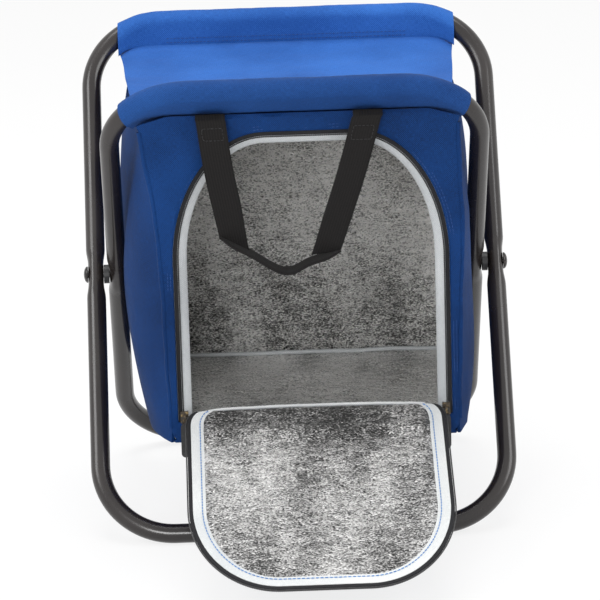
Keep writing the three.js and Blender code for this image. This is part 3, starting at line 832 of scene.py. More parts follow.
def stand_for(piece: Piece, slot: str, *nodes: str) -> Piece:
    """Hide the CAD nodes that a piece stands for.

    Args:
        piece: The piece.
        slot: Its material's name in the record; not used.
        *nodes: CAD nodes that it replaces.

    Returns:
        The piece.
    """
    if nodes:
        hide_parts(*nodes)
    return piece


def ride(piece: Piece, body: Body, slot: str, *nodes: str) -> Piece:
    """Let a piece move with a CAD body, and stand for CAD nodes.

    Args:
        piece: The piece.
        body: The body.
        slot: Its material's name in the record.
        *nodes: CAD nodes that it replaces.

    Returns:
        The piece.
    """
    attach(piece, body.value)
    LOG.info("%s rides on %s", piece.name, body.value)
    return stand_for(piece, slot, *nodes)


@dataclass
class Frame:
    """Two crossed loops of round tube, pressed flat and riveted where they cross."""

    tube: float = 16.0
    outer_width: float = 338.0
    inner_width: float = 302.0
    top: float = 380.0
    spread: float = 280.0
    outer_bend: float = 61.0
    inner_bend: float = 65.0
    crush_thickness: float = 13.0
    crush_width: float = 18.0
    crush_half: float = 9.0
    crush_ease: float = 13.0
    rivet_head: float = 7.0
    rivet_dome: float = 3.2
    rivet_rim: float = 0.3
    rivet_shank: float = 3.0
    rivet_tail: float = 5.5
    rivet_tail_deep: float = 2.0
    sides: int = 40
    bend_steps: int = 24

    def __post_init__(self) -> None:
        """Work out the lean, length and pivot height of the legs."""
        self.radius = self.tube / 2
        rise = self.top - self.radius
        self.lean = math.atan2(self.spread, rise)
        self.leg = math.hypot(self.spread, rise)
        self.pivot = (self.top + self.radius) / 2
        self.bar_y = self.spread / 2

    def axes(self, slant: int) -> tuple[Vector, Vector]:
        """Return a loop plane's up direction and normal."""
        up = Vector((0, slant * math.sin(self.lean), math.cos(self.lean)))
        return up, Vector((1, 0, 0)).cross(up)

    def bend(self, width: float, radius: float, sx: int, sy: int, start: float) -> list[tuple]:
        """Return the stations of one corner.

        Args:
            width: Between leg centres.
            radius: Corner radius.
            sx: 1 on the right, -1 on the left.
            sy: 1 at the top, -1 at the floor.
            start: Angle at which the corner starts.

        Returns:
            For each: place and outward direction in the loop's plane, and how far it is pressed flat.
        """
        found = []
        for k in range(self.bend_steps + 1):
            turn = start + math.pi / 2 * k / self.bend_steps
            out = (math.cos(turn), math.sin(turn))
            at = (sx * (width / 2 - radius) + radius * out[0], sy * (self.leg / 2 - radius) + radius * out[1])
            found.append((at, out, 0.0))
        return found

    def straight(self, width: float, side: int) -> list[tuple]:
        """Return the stations of one leg, denser where the tube is pressed.

        Args:
            width: Between leg centres.
            side: 1 on the right, -1 on the left.

        Returns:
            The stations, as for a corner.
        """
        steps = [-1, -0.85, -0.7, -0.55, -0.4, -0.2, 0]
        reach = self.crush_half + self.crush_ease
        heights = [reach * s for s in steps] + [-reach * s for s in reversed(steps[:-1])]
        return [((side * width / 2, side * h), (side, 0.0),
                 smooth((reach - abs(h)) / self.crush_ease)) for h in heights]

    def stations(self, width: float, radius: float) -> list[tuple]:
        """Return the stations once round a loop.

        Args:
            width: Between leg centres.
            radius: Corner radius.

        Returns:
            The stations, as for a corner.
        """
        quarter = math.pi / 2
        return (self.bend(width, radius, 1, -1, -quarter) + self.straight(width, 1)
                + self.bend(width, radius, 1, 1, 0) + self.bend(width, radius, -1, 1, quarter)
                + self.straight(width, -1) + self.bend(width, radius, -1, -1, 2 * quarter))

    def ring(self, station: tuple, slant: int, outline: Curve) -> list[Vector]:
        """Place an outline (outward, along the normal) at a station.

        Args:
            station: The station.
            slant: 1 if the top lies at the back, -1 at the front.
            outline: Points outward and along the normal.

        Returns:
            The points.
        """
        up, normal = self.axes(slant)
        (u, v), (ou, ov), _ = station
        centre = Vector((u, 0, self.pivot)) + up * v
        out = Vector((ou, 0, 0)) + up * ov
        return [centre + out * a + normal * b for a, b in outline]

    def loop(self, name: str, width: float, radius: float, slant: int, paint: Material) -> Piece:
        """Make one loop of tube.

        Args:
            name: The piece's name.
            width: Between leg centres.
            radius: Corner radius.
            slant: 1 if the top lies at the back, -1 at the front.
            paint: Its finish.

        Returns:
            The object.
        """
        rows = []
        for station in self.stations(width, radius):
            thick = mix(self.radius, self.crush_thickness / 2, station[2])
            wide = mix(self.radius, self.crush_width / 2, station[2])
            power = mix(1.0, 0.72, station[2])
            outline = []
            for a, b in circle(1.0, self.sides):
                outline.append((math.copysign(abs(a) ** power, a) * thick, b * wide))
            rows.append(self.ring(station, slant, outline))
        draft = MeshDraft()
        draft.grid(rows, wrap=True, join_ends=True)
        return draft.build(name, paint)

    def rivet(self, side: int, steel: Material) -> Piece:
        """Make one domed rivet through both tubes.

        Args:
            side: 1 on the right, -1 on the left.
            steel: Its finish.

        Returns:
            The object.
        """
        tail = self.inner_width / 2 - self.crush_thickness / 2 - GAP
        head = self.outer_width / 2 + self.crush_thickness / 2 + GAP
        dome = head + self.rivet_rim
        end = tail - self.rivet_tail_deep
        profile = [(0.1, end), (4.2, end), (5.2, tail - 1.5), (self.rivet_tail, tail - 0.9),
                   (self.rivet_tail, tail),
                   (self.rivet_shank, tail), (self.rivet_shank, head), (6.8, head), (self.rivet_head, dome)]
        profile += [(self.rivet_head * math.cos(t), dome + self.rivet_dome * math.sin(t))
                    for t in (0.2, 0.5, 0.8, 1.1, 1.35, 1.54)]
        rows = [[Vector((side * x, r * math.cos(t), self.pivot + r * math.sin(t)))
                 for t in (2 * math.pi * k / 36 for k in range(36))] for r, x in profile]
        draft = MeshDraft()
        draft.grid(rows, wrap=True)
        draft.caps(rows)
        return draft.build(f"rivet_{'right' if side > 0 else 'left'}", steel)

    def make(self, finishes: Finishes) -> None:
        """Build the loops and rivets, and finish the washers.

        Args:
            finishes: All materials of the stool.
        """
        outer = self.loop("outer_tube_loop", self.outer_width, self.outer_bend, 1, finishes.paint)
        ride(outer, Body.OUTER, "frame_paint", "outer_loop")
        inner = self.loop("inner_tube_loop", self.inner_width, self.inner_bend, -1, finishes.paint)
        ride(inner, Body.INNER, "frame_paint", "inner_loop")
        for name, side in (("left", -1), ("right", 1)):
            ride(self.rivet(side, finishes.steel), Body.OUTER, "rivet_steel", f"pivot_rivet_{name}")
            frame["nodes"][f"pivot_spacer_{name}"].material_slots[0].material = finishes.nylon


@dataclass
class Seat:
    """Sleeves round the top bars and the sling between their stitched edges."""

    tubes: Frame
    cloth: float = 1.5
    room: float = 0.35
    stitch_drop: float = 18.0
    stitch_inset: float = 8.0
    stitch_radius: float = 1.7
    tail_share: float = 0.62
    sag: float = 10.0
    half: float = 135.0
    waist: float = 6.0
    notch: float = 18.0
    notch_depth: float = 40.0
    edge_reach: float = 70.0  # how far the gathers and the bar's bend reach into the sling
    corner: float = 14.0
    corner_share: float = 0.6
    flare: float = 9.0
    seam_half: int = 104
    seam_drops: tuple[float, float] = (12.5, 16.0)
    seam_step: int = 4
    cells: int = 70
    front_steps: int = 14
    rear_steps: int = 10

    def teardrop(self, reach: float, tail: tuple[float, float], small: float, count: int) -> Curve:
        """Return a round with two flanks that meet in the small round of the tail.

        Args:
            reach: Radius of the round.
            tail: Centre of the small round.
            small: Radius of the small round.
            count: Steps round the big one.

        Returns:
            Points of the closed outline.
        """
        distance = math.hypot(*tail)
        way = math.atan2(tail[1], tail[0])
        flank = math.acos((reach - small) / distance)
        big = [way + mix(flank, 2 * math.pi - flank, k / count) for k in range(count + 1)]
        little = [way + mix(-flank, flank, k / 8) for k in range(9)]
        shape = [(reach * math.cos(t), reach * math.sin(t)) for t in big]
        tip = [(tail[0] + small * math.cos(t), tail[1] + small * math.sin(t)) for t in little]

        def lane(a: Point, b: Point) -> Curve:
            """Return the points between two points."""
            return [(mix(a[0], b[0], k / 5), mix(a[1], b[1], k / 5)) for k in range(1, 5)]

        return shape + lane(shape[-1], tip[0]) + tip + lane(tip[-1], shape[0])

    def top_stations(self, width: float, radius: float, steps: int) -> list[tuple]:
        """Return closely spaced stations along a top bar, so many bend steps into each corner.

        Args:
            width: Between leg centres.
            radius: Corner radius.
            steps: Bend steps into each corner.

        Returns:
            The stations, as for a corner.
        """
        quarter = math.pi / 2
        right = self.tubes.bend(width, radius, 1, 1, 0)[self.tubes.bend_steps - steps:]
        left = self.tubes.bend(width, radius, -1, 1, quarter)[:steps + 1]
        span = width / 2 - radius
        count = 60
        middle = [((mix(span, -span, k / count), self.tubes.leg / 2), (0.0, 1.0), 0.0)
                  for k in range(1, count)]
        return right + middle + left

    def upright(self, station: tuple, share: float) -> tuple[tuple, float]:
        """Return a station whose cross-section is turned towards the vertical, and its stretch.

        Args:
            station: The station.
            share: How far it is turned, 0 to 1.

        Returns:
            The station and the stretch.
        """
        turn = math.atan2(*station[1])
        out = (math.sin(turn * (1 - share)), math.cos(turn * (1 - share)))
        return (station[0], out, *station[2:]), 1 / math.cos(turn * share)

    def rear_tail(self, x: float) -> float:
        """Return how far the rear sleeve's stitched edge hangs below the straight stitch line.

        Args:
            x: Place across.

        Returns:
            The drop.
        """
        t = self.tubes
        past = max(0.0, abs(x) - (t.outer_width / 2 - t.outer_bend))
        turn = math.asin(min(past / t.outer_bend, 0.7))
        share = smooth(turn / (math.pi / 2 * self.rear_steps / t.bend_steps))
        low = t.outer_bend * (1 - math.cos(turn))
        return low + self.stitch_drop * (mix(1.0, self.tail_share, share) / math.cos(turn) - 1)

    def sleeve(self, name: str, width: float, radius: float, slant: int, steps: int, stand: float,
               cloth: Material) -> Piece:
        """Make one sleeve.

        Args:
            name: The piece's name.
            width: The loop's width.
            radius: The loop's corner radius.
            slant: 1 at the rear bar, -1 at the front bar.
            steps: How many bend steps it follows.
            stand: How far its ends are cut upright, 0 to 1.
            cloth: Its finish.

        Returns:
            The object.
        """
        up, normal = self.tubes.axes(slant)
        tail = Vector((0, -slant * self.stitch_inset, -self.stitch_drop))
        tail_out, tail_across = tail.dot(up), tail.dot(normal)
        end = math.pi / 2 * steps / self.tubes.bend_steps
        outer, inner = [], []
        for station in self.top_stations(width, radius, steps):
            share = smooth(math.acos(min(1.0, station[1][1])) / end)
            left = mix(1.0, self.tail_share, share)
            reach = self.tubes.radius + self.room + self.cloth
            tip = (tail_out * left, tail_across * left)
            station, stretch = self.upright(station, stand)
            x = station[0][0]
            soft = []
            for k, (a, b) in enumerate(self.teardrop(reach, tip, self.stitch_radius, 30)):
                pull = 0.35 * ripple(x * 0.03, k * 0.16, slant * 7.0)
                pull += 0.22 * ripple(x * 0.12, k * 0.3, slant * 3.0)
                size = math.hypot(a, b)
                soft.append((a * (1 + pull / size) * stretch, b * (1 + pull / size)))
            outer.append(self.tubes.ring(station, slant, soft))
            hole = self.teardrop(self.tubes.radius + self.room, (tip[0] * 0.9, tip[1] * 0.9), 0.4, 30)
            inner.append(self.tubes.ring(station, slant, [(a * stretch, b) for a, b in hole]))
        draft = MeshDraft()
        draft.grid(outer, wrap=True)
        draft.grid(inner, wrap=True)
        round_it, last = len(outer[0]), len(outer) - 1
        draft.join(round_it, (0, last), round_it * len(outer))
        return draft.build(name, cloth)

    def surface(self, u: float, v: float) -> Vector:
        """Return the sling's middle surface: u across, v from front to back.

        Args:
            u: Share of the way across.
            v: Share of the way from front to back.

        Returns:
            The point.
        """
        edge = self.tubes.bar_y - self.stitch_inset - self.stitch_radius
        seam = self.tubes.top - self.stitch_drop
        corner = self.corner * smooth((abs(2 * u - 1) - self.corner_share) / (1 - self.corner_share))
        y = mix(corner - edge, edge, v)
        bow = 1 - (y / edge) ** 2
        notch = self.notch * (1 - smooth((y + edge) / self.notch_depth))
        x = (2 * u - 1) * (self.half + self.flare * smooth(v * 1.4) - self.waist * bow - notch)
        roll = math.cos(math.pi * (u - 0.5))
        z = seam - self.sag * bow * mix(0.85, 1.0, roll)
        crease = 0.9 * ripple(x * 0.011 + y * 0.012, y * 0.02 - x * 0.004, 3.0, 4)
        gather = 0.5 * ripple(x * 0.09, 5.0, y * 0.008) * (1 - smooth((edge - abs(y)) / self.edge_reach))
        hem = 0.5 * smooth((abs(2 * u - 1) - 0.93) / 0.03)
        z -= 0.88 * self.rear_tail(x) * smooth(1 - (edge - y) / self.edge_reach)
        return Vector((x, y, z + (crease * 1.6 + gather * 1.5) * smooth((edge - abs(y)) / 10) - hem))

    def make(self, finishes: Finishes) -> None:
        """Build the sleeves, the sling and their stitching.

        Args:
            finishes: All materials of the stool.
        """
        t = self.tubes
        # The front sleeve has the shaded copy of the blue cloth; the rear sleeve and the sling the lit copy.
        front = self.sleeve("front_bar_sleeve", t.inner_width, t.inner_bend, -1, self.front_steps, 0.45,
                            finishes.sleeve)
        ride(front, Body.INNER, "blue_cloth", "front_sleeve")
        rear = self.sleeve("rear_bar_sleeve", t.outer_width, t.outer_bend, 1, self.rear_steps, 1.0,
                           finishes.lit_seat)
        ride(rear, Body.OUTER, "blue_cloth", "rear_sleeve")
        rows = lattice(self.cells, self.cells, lambda i, j: self.surface(i / self.cells, j / self.cells))
        sling = skin(rows, -self.cloth).build("seat_cloth", finishes.lit_seat)
        stand_for(sling, "blue_cloth", "seat_sling")
        rear_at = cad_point(0, t.bar_y - self.stitch_inset, t.top - self.stitch_drop)
        front_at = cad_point(0, self.stitch_inset - t.bar_y, t.top - self.stitch_drop)
        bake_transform(sling)
        middle = [row[self.cells // 2] for row in rows]
        length = sum((b - a).length for a, b in zip(middle, middle[1:]))
        LOG.info("sling is %.1f x %.1f mm laid flat", 2 * self.half, length)
        for name, y_side, body in (("front", -1, Body.INNER), ("rear", 1, Body.OUTER)):
            for row, drop in enumerate(self.seam_drops):
                places = range(-self.seam_half, self.seam_half + 1, self.seam_step)
                line = [self.flank(y_side, x, drop) for x in places]
                thread = stitches(f"{name}_sleeve_stitching_{row}", line, finishes.thread_dark)
                ride(thread, body, "blue_cloth")

    def flank(self, y_side: int, x: float, drop: float) -> Vector:
        """Return a point on the middle side flank of a sleeve, so far below its bar's centre.

        Args:
            y_side: 1 at the rear bar, -1 at the front bar.
            x: Place across.
            drop: How far below the bar's centre.

        Returns:
            The point.
        """
        reach = self.tubes.radius + self.room + self.cloth
        distance = math.hypot(self.stitch_inset, self.stitch_drop)
        way = math.atan2(-self.stitch_drop, self.stitch_inset)
        flank = math.acos((reach - self.stitch_radius) / distance)
        big = Vector((reach * math.cos(way + flank), reach * math.sin(way + flank)))
        tip = Vector((self.stitch_inset + self.stitch_radius * math.cos(way + flank),
                      -self.stitch_drop + self.stitch_radius * math.sin(way + flank)))
        share = (-drop - big.y) / (tip.y - big.y)
        inward = mix(big.x, tip.x, share) + 0.35
        return Vector((x, y_side * (self.tubes.bar_y - inward), self.tubes.top - drop))


@dataclass
class Arch:
    """The zip's arch: across from the door's middle, and up from the fold line."""

    half: float = 107.5
    height: float = 230.5
    corner_wide: float = 72.5
    corner_tall: float = 102.5
    neck: float = 10.0
    neck_rise: float = 20.0
    gap: float = 0.15
    tooth: float = 1.3
    tape: float = 3.1
    door_tape: float = 2.8
    binding: float = 10.5
    foot: float = 7.0
    tape_faces: tuple[float, float] = (0.6, 1.8)
    teeth_faces: tuple[float, float] = (GAP, 2.9)
    middle: float = 115.0  # rays that shape the panels start at this height

    def curve(self, inset: float, foot: float) -> Curve:
        """Return the arch from its left foot over the top to its right foot.

        Args:
            inset: How far inside the teeth line.
            foot: Height at which both sides start.

        Returns:
            Points, the same number for any inset.
        """
        half, top = self.half - inset, self.height - inset
        wide, tall = self.corner_wide - inset, self.corner_tall - inset
        left = [(-half, mix(foot, top - tall, k / 24)) for k in range(24)]
        for k in range(29):
            turn = math.pi / 2 * k / 28
            left.append((-half + wide * (1 - math.cos(turn)), top - tall * (1 - math.sin(turn))))
        left += [(mix(wide - half, 0, k / 8), top) for k in range(1, 9)]
        return left + [(-x, y) for x, y in reversed(left[:-1])]

    def door_curve(self, inset: float) -> Curve:
        """Return the door's arch, which narrows to a neck at its root.

        Args:
            inset: How far inside the teeth line.

        Returns:
            Points, the same number for any inset.
        """
        steps = 12
        neck = []
        for k in range(steps):
            turn = math.pi / 2 * k / steps
            x = self.half - inset - self.neck * (1 - math.sin(turn))
            neck.append((-x, GAP + (self.neck_rise - GAP) * (1 - math.cos(turn))))
        return neck + self.curve(inset, self.neck_rise) + [(-x, y) for x, y in reversed(neck)]

    @property
    def hole(self) -> float:
        """Return the inset of the front panel's cut edge."""
        return -self.gap - self.tooth - GAP - self.tape - GAP

    @property
    def door_edge(self) -> float:
        """Return the inset of the door's cloth edge."""
        return self.gap + self.tooth + GAP + self.door_tape + GAP


def ray_hit(outline: Curve, centre: tuple[float, float], turn: float) -> tuple[float, float]:
    """Return where a ray from the centre leaves a closed outline.

    Args:
        outline: Points of the closed outline.
        centre: Where the ray starts.
        turn: The ray's angle.

    Returns:
        The place.
    """
    dx, dy = math.cos(turn), math.sin(turn)
    best = 0.0
    for (ax, ay), (bx, by) in zip(outline, outline[1:] + outline[:1]):
        ex, ey = bx - ax, by - ay
        cross = dx * ey - dy * ex
        if abs(cross) < 1e-9:
            continue
        px, py = ax - centre[0], ay - centre[1]
        far = (px * ey - py * ex) / cross
        share = (px * dy - py * dx) / cross
        if -1e-6 <= share <= 1 + 1e-6 and far > best:
            best = far
    return centre[0] + dx * best, centre[1] + dy * best


@dataclass
class Bag:
    """The insulated bag between the legs."""

    tubes: Frame
    arch: Arch
    cloth: float = 2.4
    foil: float = 1.0
    inset: float = 5.0
    top_half: float = 130.0
    foot_half: float = 119.0
    centre_top: float = 2.5
    centre_foot: float = 10.0
    corner: float = 14.0
    shoulder: float = 25.0
    shoulder_drop: float = 7.0
    floor: float = 84.0
    back_foot: float = 107.0
    back_half: float = 124.0
    back_centre: float = 6.0
    reach: float = 141.0
    draw: float = 11.0
    pillow: float = 5.5
    swell: float = 6.0
    wander: float = 2.6  # how far the front seams stray
    leg_reach: float = 20.0  # how far a leg holds the side wall in
    back_room: float = 0.4
    piping: float = 2.3
    back_piping: float = 2.2
    floor_seam: float = 1.9
    lip_seam: float = 1.5
    stitch_insets: tuple[float, float] = (2.2, 4.6)
    tuck: float = 0.07  # how far the folded sides lean inwards
    squash_depth: float = 4.0
    squash_height: float = 200.0
    lid_drop: float = 36.0
    side_drop: float = 14.0
    lip: float = 109.0
    top_drop: float = 20.3
    root_inset: float = 3.55
    foil_inset: float = 3.3
    foil_foot: float = 2.7
    floor_foil: float = 2.9
    lid_foil: float = 1.3
    cloth_lap: float = 3.6
    foil_lap: float = 4.6
    level_step: float = 1.5
    level_room: float = 2.3
    facing: float = 11.5
    rays: int = 420
    cells: int = 56
    fine: int = 60

    def __post_init__(self) -> None:
        """Work out the panel plane and heights."""
        self.panel_back = -self.tubes.bar_y + self.inset + self.cloth
        self.top = self.tubes.top - self.top_drop
        self.tall = self.top - self.floor
        self.inside = self.panel_back + GAP

    def front_centre(self, share: float) -> float:
        """Return the middle of the front panel at a share of its height."""
        return mix(self.centre_foot, self.centre_top, smooth((share - 0.6) / 0.4))

    def front_half(self, share: float) -> float:
        """Return the half width of the front panel."""
        return mix(self.foot_half, self.top_half, share * share) + self.wander * ripple(share * 3.1, 5.0, 7.0)

    def back_y(self, share: float) -> float:
        """Return where the back panel lies."""
        return mix(self.back_foot, self.tubes.bar_y - self.inset, share)

    def side_x(self, side: int, depth: float, share: float) -> float:
        """Return the outer face of a side wall, from the front seam (0) to the back seam (1).

        Args:
            side: 1 on the right, -1 on the left.
            depth: Share of the way from the front seam to the back seam.
            share: Share of the bag's height.

        Returns:
            The place across.
        """
        front = self.front_centre(share) + side * self.front_half(share)
        back = self.back_centre + side * self.back_half
        reach = self.reach - self.draw * abs(2 * share - 1) ** 3
        swell = mix(self.swell, 0, smooth(share / 0.5)) + side * reach
        full = 1 - abs(1 - 2 * depth) ** 3.2
        y = mix(self.inside, self.back_y(share), depth)
        leg = self.tubes.bar_y - 2 * self.tubes.bar_y * (self.floor + self.tall * share) / self.tubes.top
        free = 1 - math.exp(-((y - leg) / self.leg_reach) ** 2)
        return mix(mix(front, back, depth), swell, full) + side * self.pillow * full * free

    def side_y(self, depth: float, share: float, inset: float) -> float:
        """Return how far back a side wall's point lies."""
        return mix(self.inside + inset, self.back_y(share) - self.back_room - inset, depth)

    def panel_outline(self) -> Curve:
        """Return the front panel's outline: across, and up from the fold line.

        Returns:
            Points, from the foot's right corner round to its left corner.
        """
        foot = self.floor - self.lip
        edges, lows = [], []
        for side in (-1, 1):
            shares = [k / 24 for k in range(25)]
            edge = [(self.front_centre(s) + side * self.front_half(s), foot + self.tall * s) for s in shares]
            edges.append(edge)
            lows.append([(edge[0][0] - side * self.corner * (1 - math.sin(t)),
                          foot + self.corner * (1 - math.cos(t)))
                         for t in (math.pi / 2 * k / 6 for k in range(7))])
        (left, right), (low_left, low_right) = edges, lows
        (lx, ly), (rx, ry) = left[-1], right[-1]
        tops = [(rx, ry - self.shoulder_drop), (rx - self.shoulder, ry),
                (lx + self.shoulder, ly), (lx, ly - self.shoulder_drop)]
        return low_right + right[2:-1] + tops + left[-2:1:-1] + low_left[::-1]

    def opening(self) -> Curve:
        """Return the cut edge of the opening.

        Returns:
            Points of the closed edge.
        """
        middle, foot = self.centre_foot, -self.arch.foot - GAP
        edge = [(middle + x, y) for x, y in self.arch.curve(self.arch.hole, foot)]
        inner = self.arch.half - self.root_inset
        right, left = middle + inner, middle - inner
        return edge + [(right, foot), (right, 0), (left, 0), (left, foot)]

    def on_panel(self, x: float, near: float, up: float) -> Vector:
        """Return a point so far in front of the front panel's inner face."""
        return Vector((x, self.panel_back - near, self.lip + up))

    def puff(self, x: float, up: float) -> float:
        """Return how far the front cloth swells away from its edges."""
        broad = 1.3 + 2.4 * ripple(x * 0.021, up * 0.014, 1.0)
        return broad + 1.1 * ripple(x * 0.06 + up * 0.03, up * 0.03, 4.0)

    def front_panel(self, cloth: Material) -> Piece:
        """Make the front panel round the opening.

        Args:
            cloth: Its finish.

        Returns:
            The object.
        """
        centre = (self.centre_foot, self.arch.middle)
        hole, rim = self.opening(), self.panel_outline()
        turns = [2 * math.pi * k / self.rays for k in range(self.rays)]
        pairs = [(ray_hit(hole, centre, t), ray_hit(rim, centre, t)) for t in turns]
        shares = [0, 0.03, 0.1, 0.25, 0.4, 0.55, 0.7, 0.85, 0.97, 1]
        outside, inside, flat = [], [], []
        for share in shares:
            soft = smooth(min(share, 1 - share) / 0.12)
            ring = [(mix(a[0], b[0], share), mix(a[1], b[1], share)) for a, b in pairs]
            flat.append(ring)
            outside.append([self.on_panel(x, self.cloth + max(-0.5, self.puff(x, up) * soft), up)
                            for x, up in ring])
            inside.append([self.on_panel(x, 0.1, up) for x, up in ring])
        draft = MeshDraft()
        draft.grid(outside, wrap=True, coords=flat)
        draft.grid(inside, wrap=True, coords=flat)
        draft.join(self.rays, (0, len(shares) - 1), len(shares) * self.rays)
        return draft.build("bag_front_cloth", cloth)

    def side(self, name: str, side: int, inset: float, thick: float, low: float, high: float, wave: float,
             finish: Material) -> Piece:
        """Make a side wall or its lining.

        Args:
            name: The piece's name.
            side: -1 left, 1 right.
            inset: How far inside the outer face.
            thick: Its thickness.
            low: Lower edge above the bag's foot.
            high: Upper edge above the bag's foot.
            wave: Height of its folds.
            finish: Its material.

        Returns:
            The object.
        """
        least, most = (-0.7, 0.9) if inset < self.cloth else (-2.4, 0.1)  # the layers stay apart

        def at(i: int, j: int) -> Point:
            """Return a point of the wall.

            Args:
                i: The column.
                j: The row.

            Returns:
                The point.
            """
            depth, share = i / self.fine, mix(low, high, j / self.cells) / self.tall
            soft = smooth(min(depth, 1 - depth) / 0.12)
            long = ripple(depth * 3.2, share * 1.1, side * 3.0 + inset, 3)
            small = ripple(depth * 14, share * 9, side * 5.0 + inset, 3)
            fold = wave * soft * (long * 1.6 - 0.8 + small * 0.3)
            x = self.side_x(side, depth, share) - side * inset + side * max(least, min(fold, most))
            return (x, self.side_y(depth, share, inset), self.floor + self.tall * share)

        return skin(lattice(self.fine, self.cells, at), -side * thick).build(name, finish)

    def back(self, name: str, inset: float, low: float, high: float, thick: float, wave: float,
             finish: Material) -> Piece:
        """Make the back panel or its lining.

        Args:
            name: The piece's name.
            inset: How far inside the outer face.
            low: Lower edge above the bag's foot.
            high: Upper edge above the bag's foot.
            thick: Its thickness; the sign picks the side.
            wave: Height of its folds.
            finish: Its material.

        Returns:
            The object.
        """
        def at(i: int, j: int) -> Point:
            """Return a point of the panel.

            Args:
                i: The column.
                j: The row.

            Returns:
                The point.
            """
            across, share = i / self.fine, mix(low, high, j / self.fine) / self.tall
            x = self.back_centre + (2 * across - 1) * (self.back_half - inset)
            soft = smooth(min(across, 1 - across, share + 0.02, 1.02 - share) / 0.1)
            long, small = ripple(x * 0.013, share * 3.0, inset), ripple(x * 0.07, share * 14, 2.0)
            fold = wave * soft * (long * 1.3 + 0.3 * small)
            return (x, self.back_y(share) - inset + fold, self.floor + self.tall * share)

        return skin(lattice(self.fine, self.fine, at), thick).build(name, finish)

    def level(self, name: str, height: float, step: float, lap: float, thick: float, wave: float,
              finish: Material) -> Piece:
        """Make the floor, the lid or a lining of theirs.

        Args:
            name: The piece's name.
            height: Its under face above the bag's foot.
            step: How far behind the front panel it starts.
            lap: How far inside the side walls' outer faces it ends.
            thick: Its thickness.
            wave: Height of its folds.
            finish: Its material.

        Returns:
            The object.
        """
        share, last_cell = height / self.tall, self.cells
        first, last = self.side_y(0, share, 0), self.side_y(1, share, 0) - self.level_room

        def at(i: int, j: int) -> Point:
            """Return a point of the sheet.

            Args:
                i: The column.
                j: The row.

            Returns:
                The point.
            """
            y = mix(first + step, last - (lap - self.cloth_lap), j / last_cell)
            depth = (y - first) / (last - first)
            x = mix(self.side_x(-1, depth, share) + lap, self.side_x(1, depth, share) - lap, i / last_cell)
            soft = smooth(min(i, last_cell - i, j, last_cell - j) / 6)
            long, small = ripple(x * 0.016, y * 0.016, height), ripple(x * 0.08, y * 0.08, 1.0)
            fold = wave * soft * (long * 1.4 + 0.3 * small)
            return (x, y, self.floor + height + max(fold, -0.15))

        return skin(lattice(last_cell, last_cell, at), thick).build(name, finish)

    def seam(self, name: str, path: list[Vector], radius: float, finish: Material) -> Piece:
        """Make a piped seam.

        Args:
            name: The piece's name.
            path: Its middle line.
            radius: Radius of the piping.
            finish: Its material.

        Returns:
            The object.
        """
        def section(i: int) -> Curve:
            """Return the piping's round, a little uneven along its length."""
            return [(a * (1 + 0.12 * ripple(i * 0.4, 0, 9.0)), b) for a, b in circle(radius, 10)]

        return sweep(resample(path, 3.0), section, (0.02, -1, 0.01)).build(name, finish)

    def strip(self, name: str, outer: float, inner: float, near: float, far: float, foot: float, crown: float,
              finish: Material, lean: float = 0.0) -> Piece:
        """Make a band round the arch on the bag.

        Args:
            name: The piece's name.
            outer: Inset of its outer edge from the teeth line.
            inner: Inset of its inner edge.
            near: Its inner face.
            far: Its outer face.
            foot: Height at which it starts.
            crown: How much its middle swells.
            finish: Its material.
            lean: How far its inner edge turns back.

        Returns:
            The object.
        """
        shift = [(self.centre_foot + x, y) for x, y in self.arch.curve(outer, foot)]
        other = [(self.centre_foot + x, y) for x, y in self.arch.curve(inner, foot)]
        return band(name, shift, other, near, far, crown, self.on_panel, finish, lean)

    def make(self, finishes: Finishes) -> None:
        """Build the bag's cloth, linings, facing, seams and its half of the zip.

        Args:
            finishes: All materials of the stool.
        """
        blue, foil = finishes.blue, finishes.lit_foil_inside
        ride(self.front_panel(blue), Body.FRONT, "blue_cloth", "bag_front_panel")
        lid = self.tubes.top - self.lid_drop - self.cloth - self.floor
        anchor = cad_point(0, self.inset - self.tubes.bar_y + self.squash_depth, self.squash_height)
        folded = []
        for word, side in (("left", -1), ("right", 1)):
            wall = self.side(f"side_cloth_{word}", side, 0.0, self.cloth, GAP, self.tall - self.side_drop,
                             1.6, blue)
            folded.append(ride(wall, Body.FRONT, "blue_cloth", f"bag_side_{word}"))
            lining = self.side(f"side_foil_{word}", side, self.foil_inset, self.foil, self.foil_foot,
                               lid - GAP, 2.4, foil)
            folded.append(ride(lining, Body.FRONT, "foil_lining", f"lining_side_{word}"))
        step, lap, thin = self.level_step, self.cloth_lap, self.foil_lap
        under, over = self.floor_foil, lid - self.lid_foil
        levels = (("floor_cloth", 0.0, 0.0, lap, self.cloth, 0.1, blue, "bag_floor", "blue_cloth"),
                  ("floor_foil", under, step, thin, self.foil, 2.2, foil, "lining_floor", "foil_lining"),
                  ("lid_cloth", lid, step, lap, self.cloth, 0.1, blue, "bag_top", "blue_cloth"),
                  ("lid_foil", over, step, thin, self.foil, 0.1, foil, "lining_top", "foil_lining"))
        for *shape, node, slot in levels:
            folded.append(ride(self.level(*shape), Body.FRONT, slot, node))
        for piece in folded:
            side = piece.name.endswith("_right") - piece.name.endswith("_left")
            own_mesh(piece)
        back = self.back("back_cloth", 0.0, 0.0, self.tall, -self.cloth, 1.2, blue)
        ride(back, Body.BACK, "blue_cloth", "bag_back_panel")
        inner = self.back("back_foil", self.cloth + GAP, self.foil_foot, lid - self.lid_foil, self.foil,
                          1.8, foil)
        ride(inner, Body.BACK, "foil_lining", "lining_back")
        self.zip_half(finishes)
        self.seams(finishes)

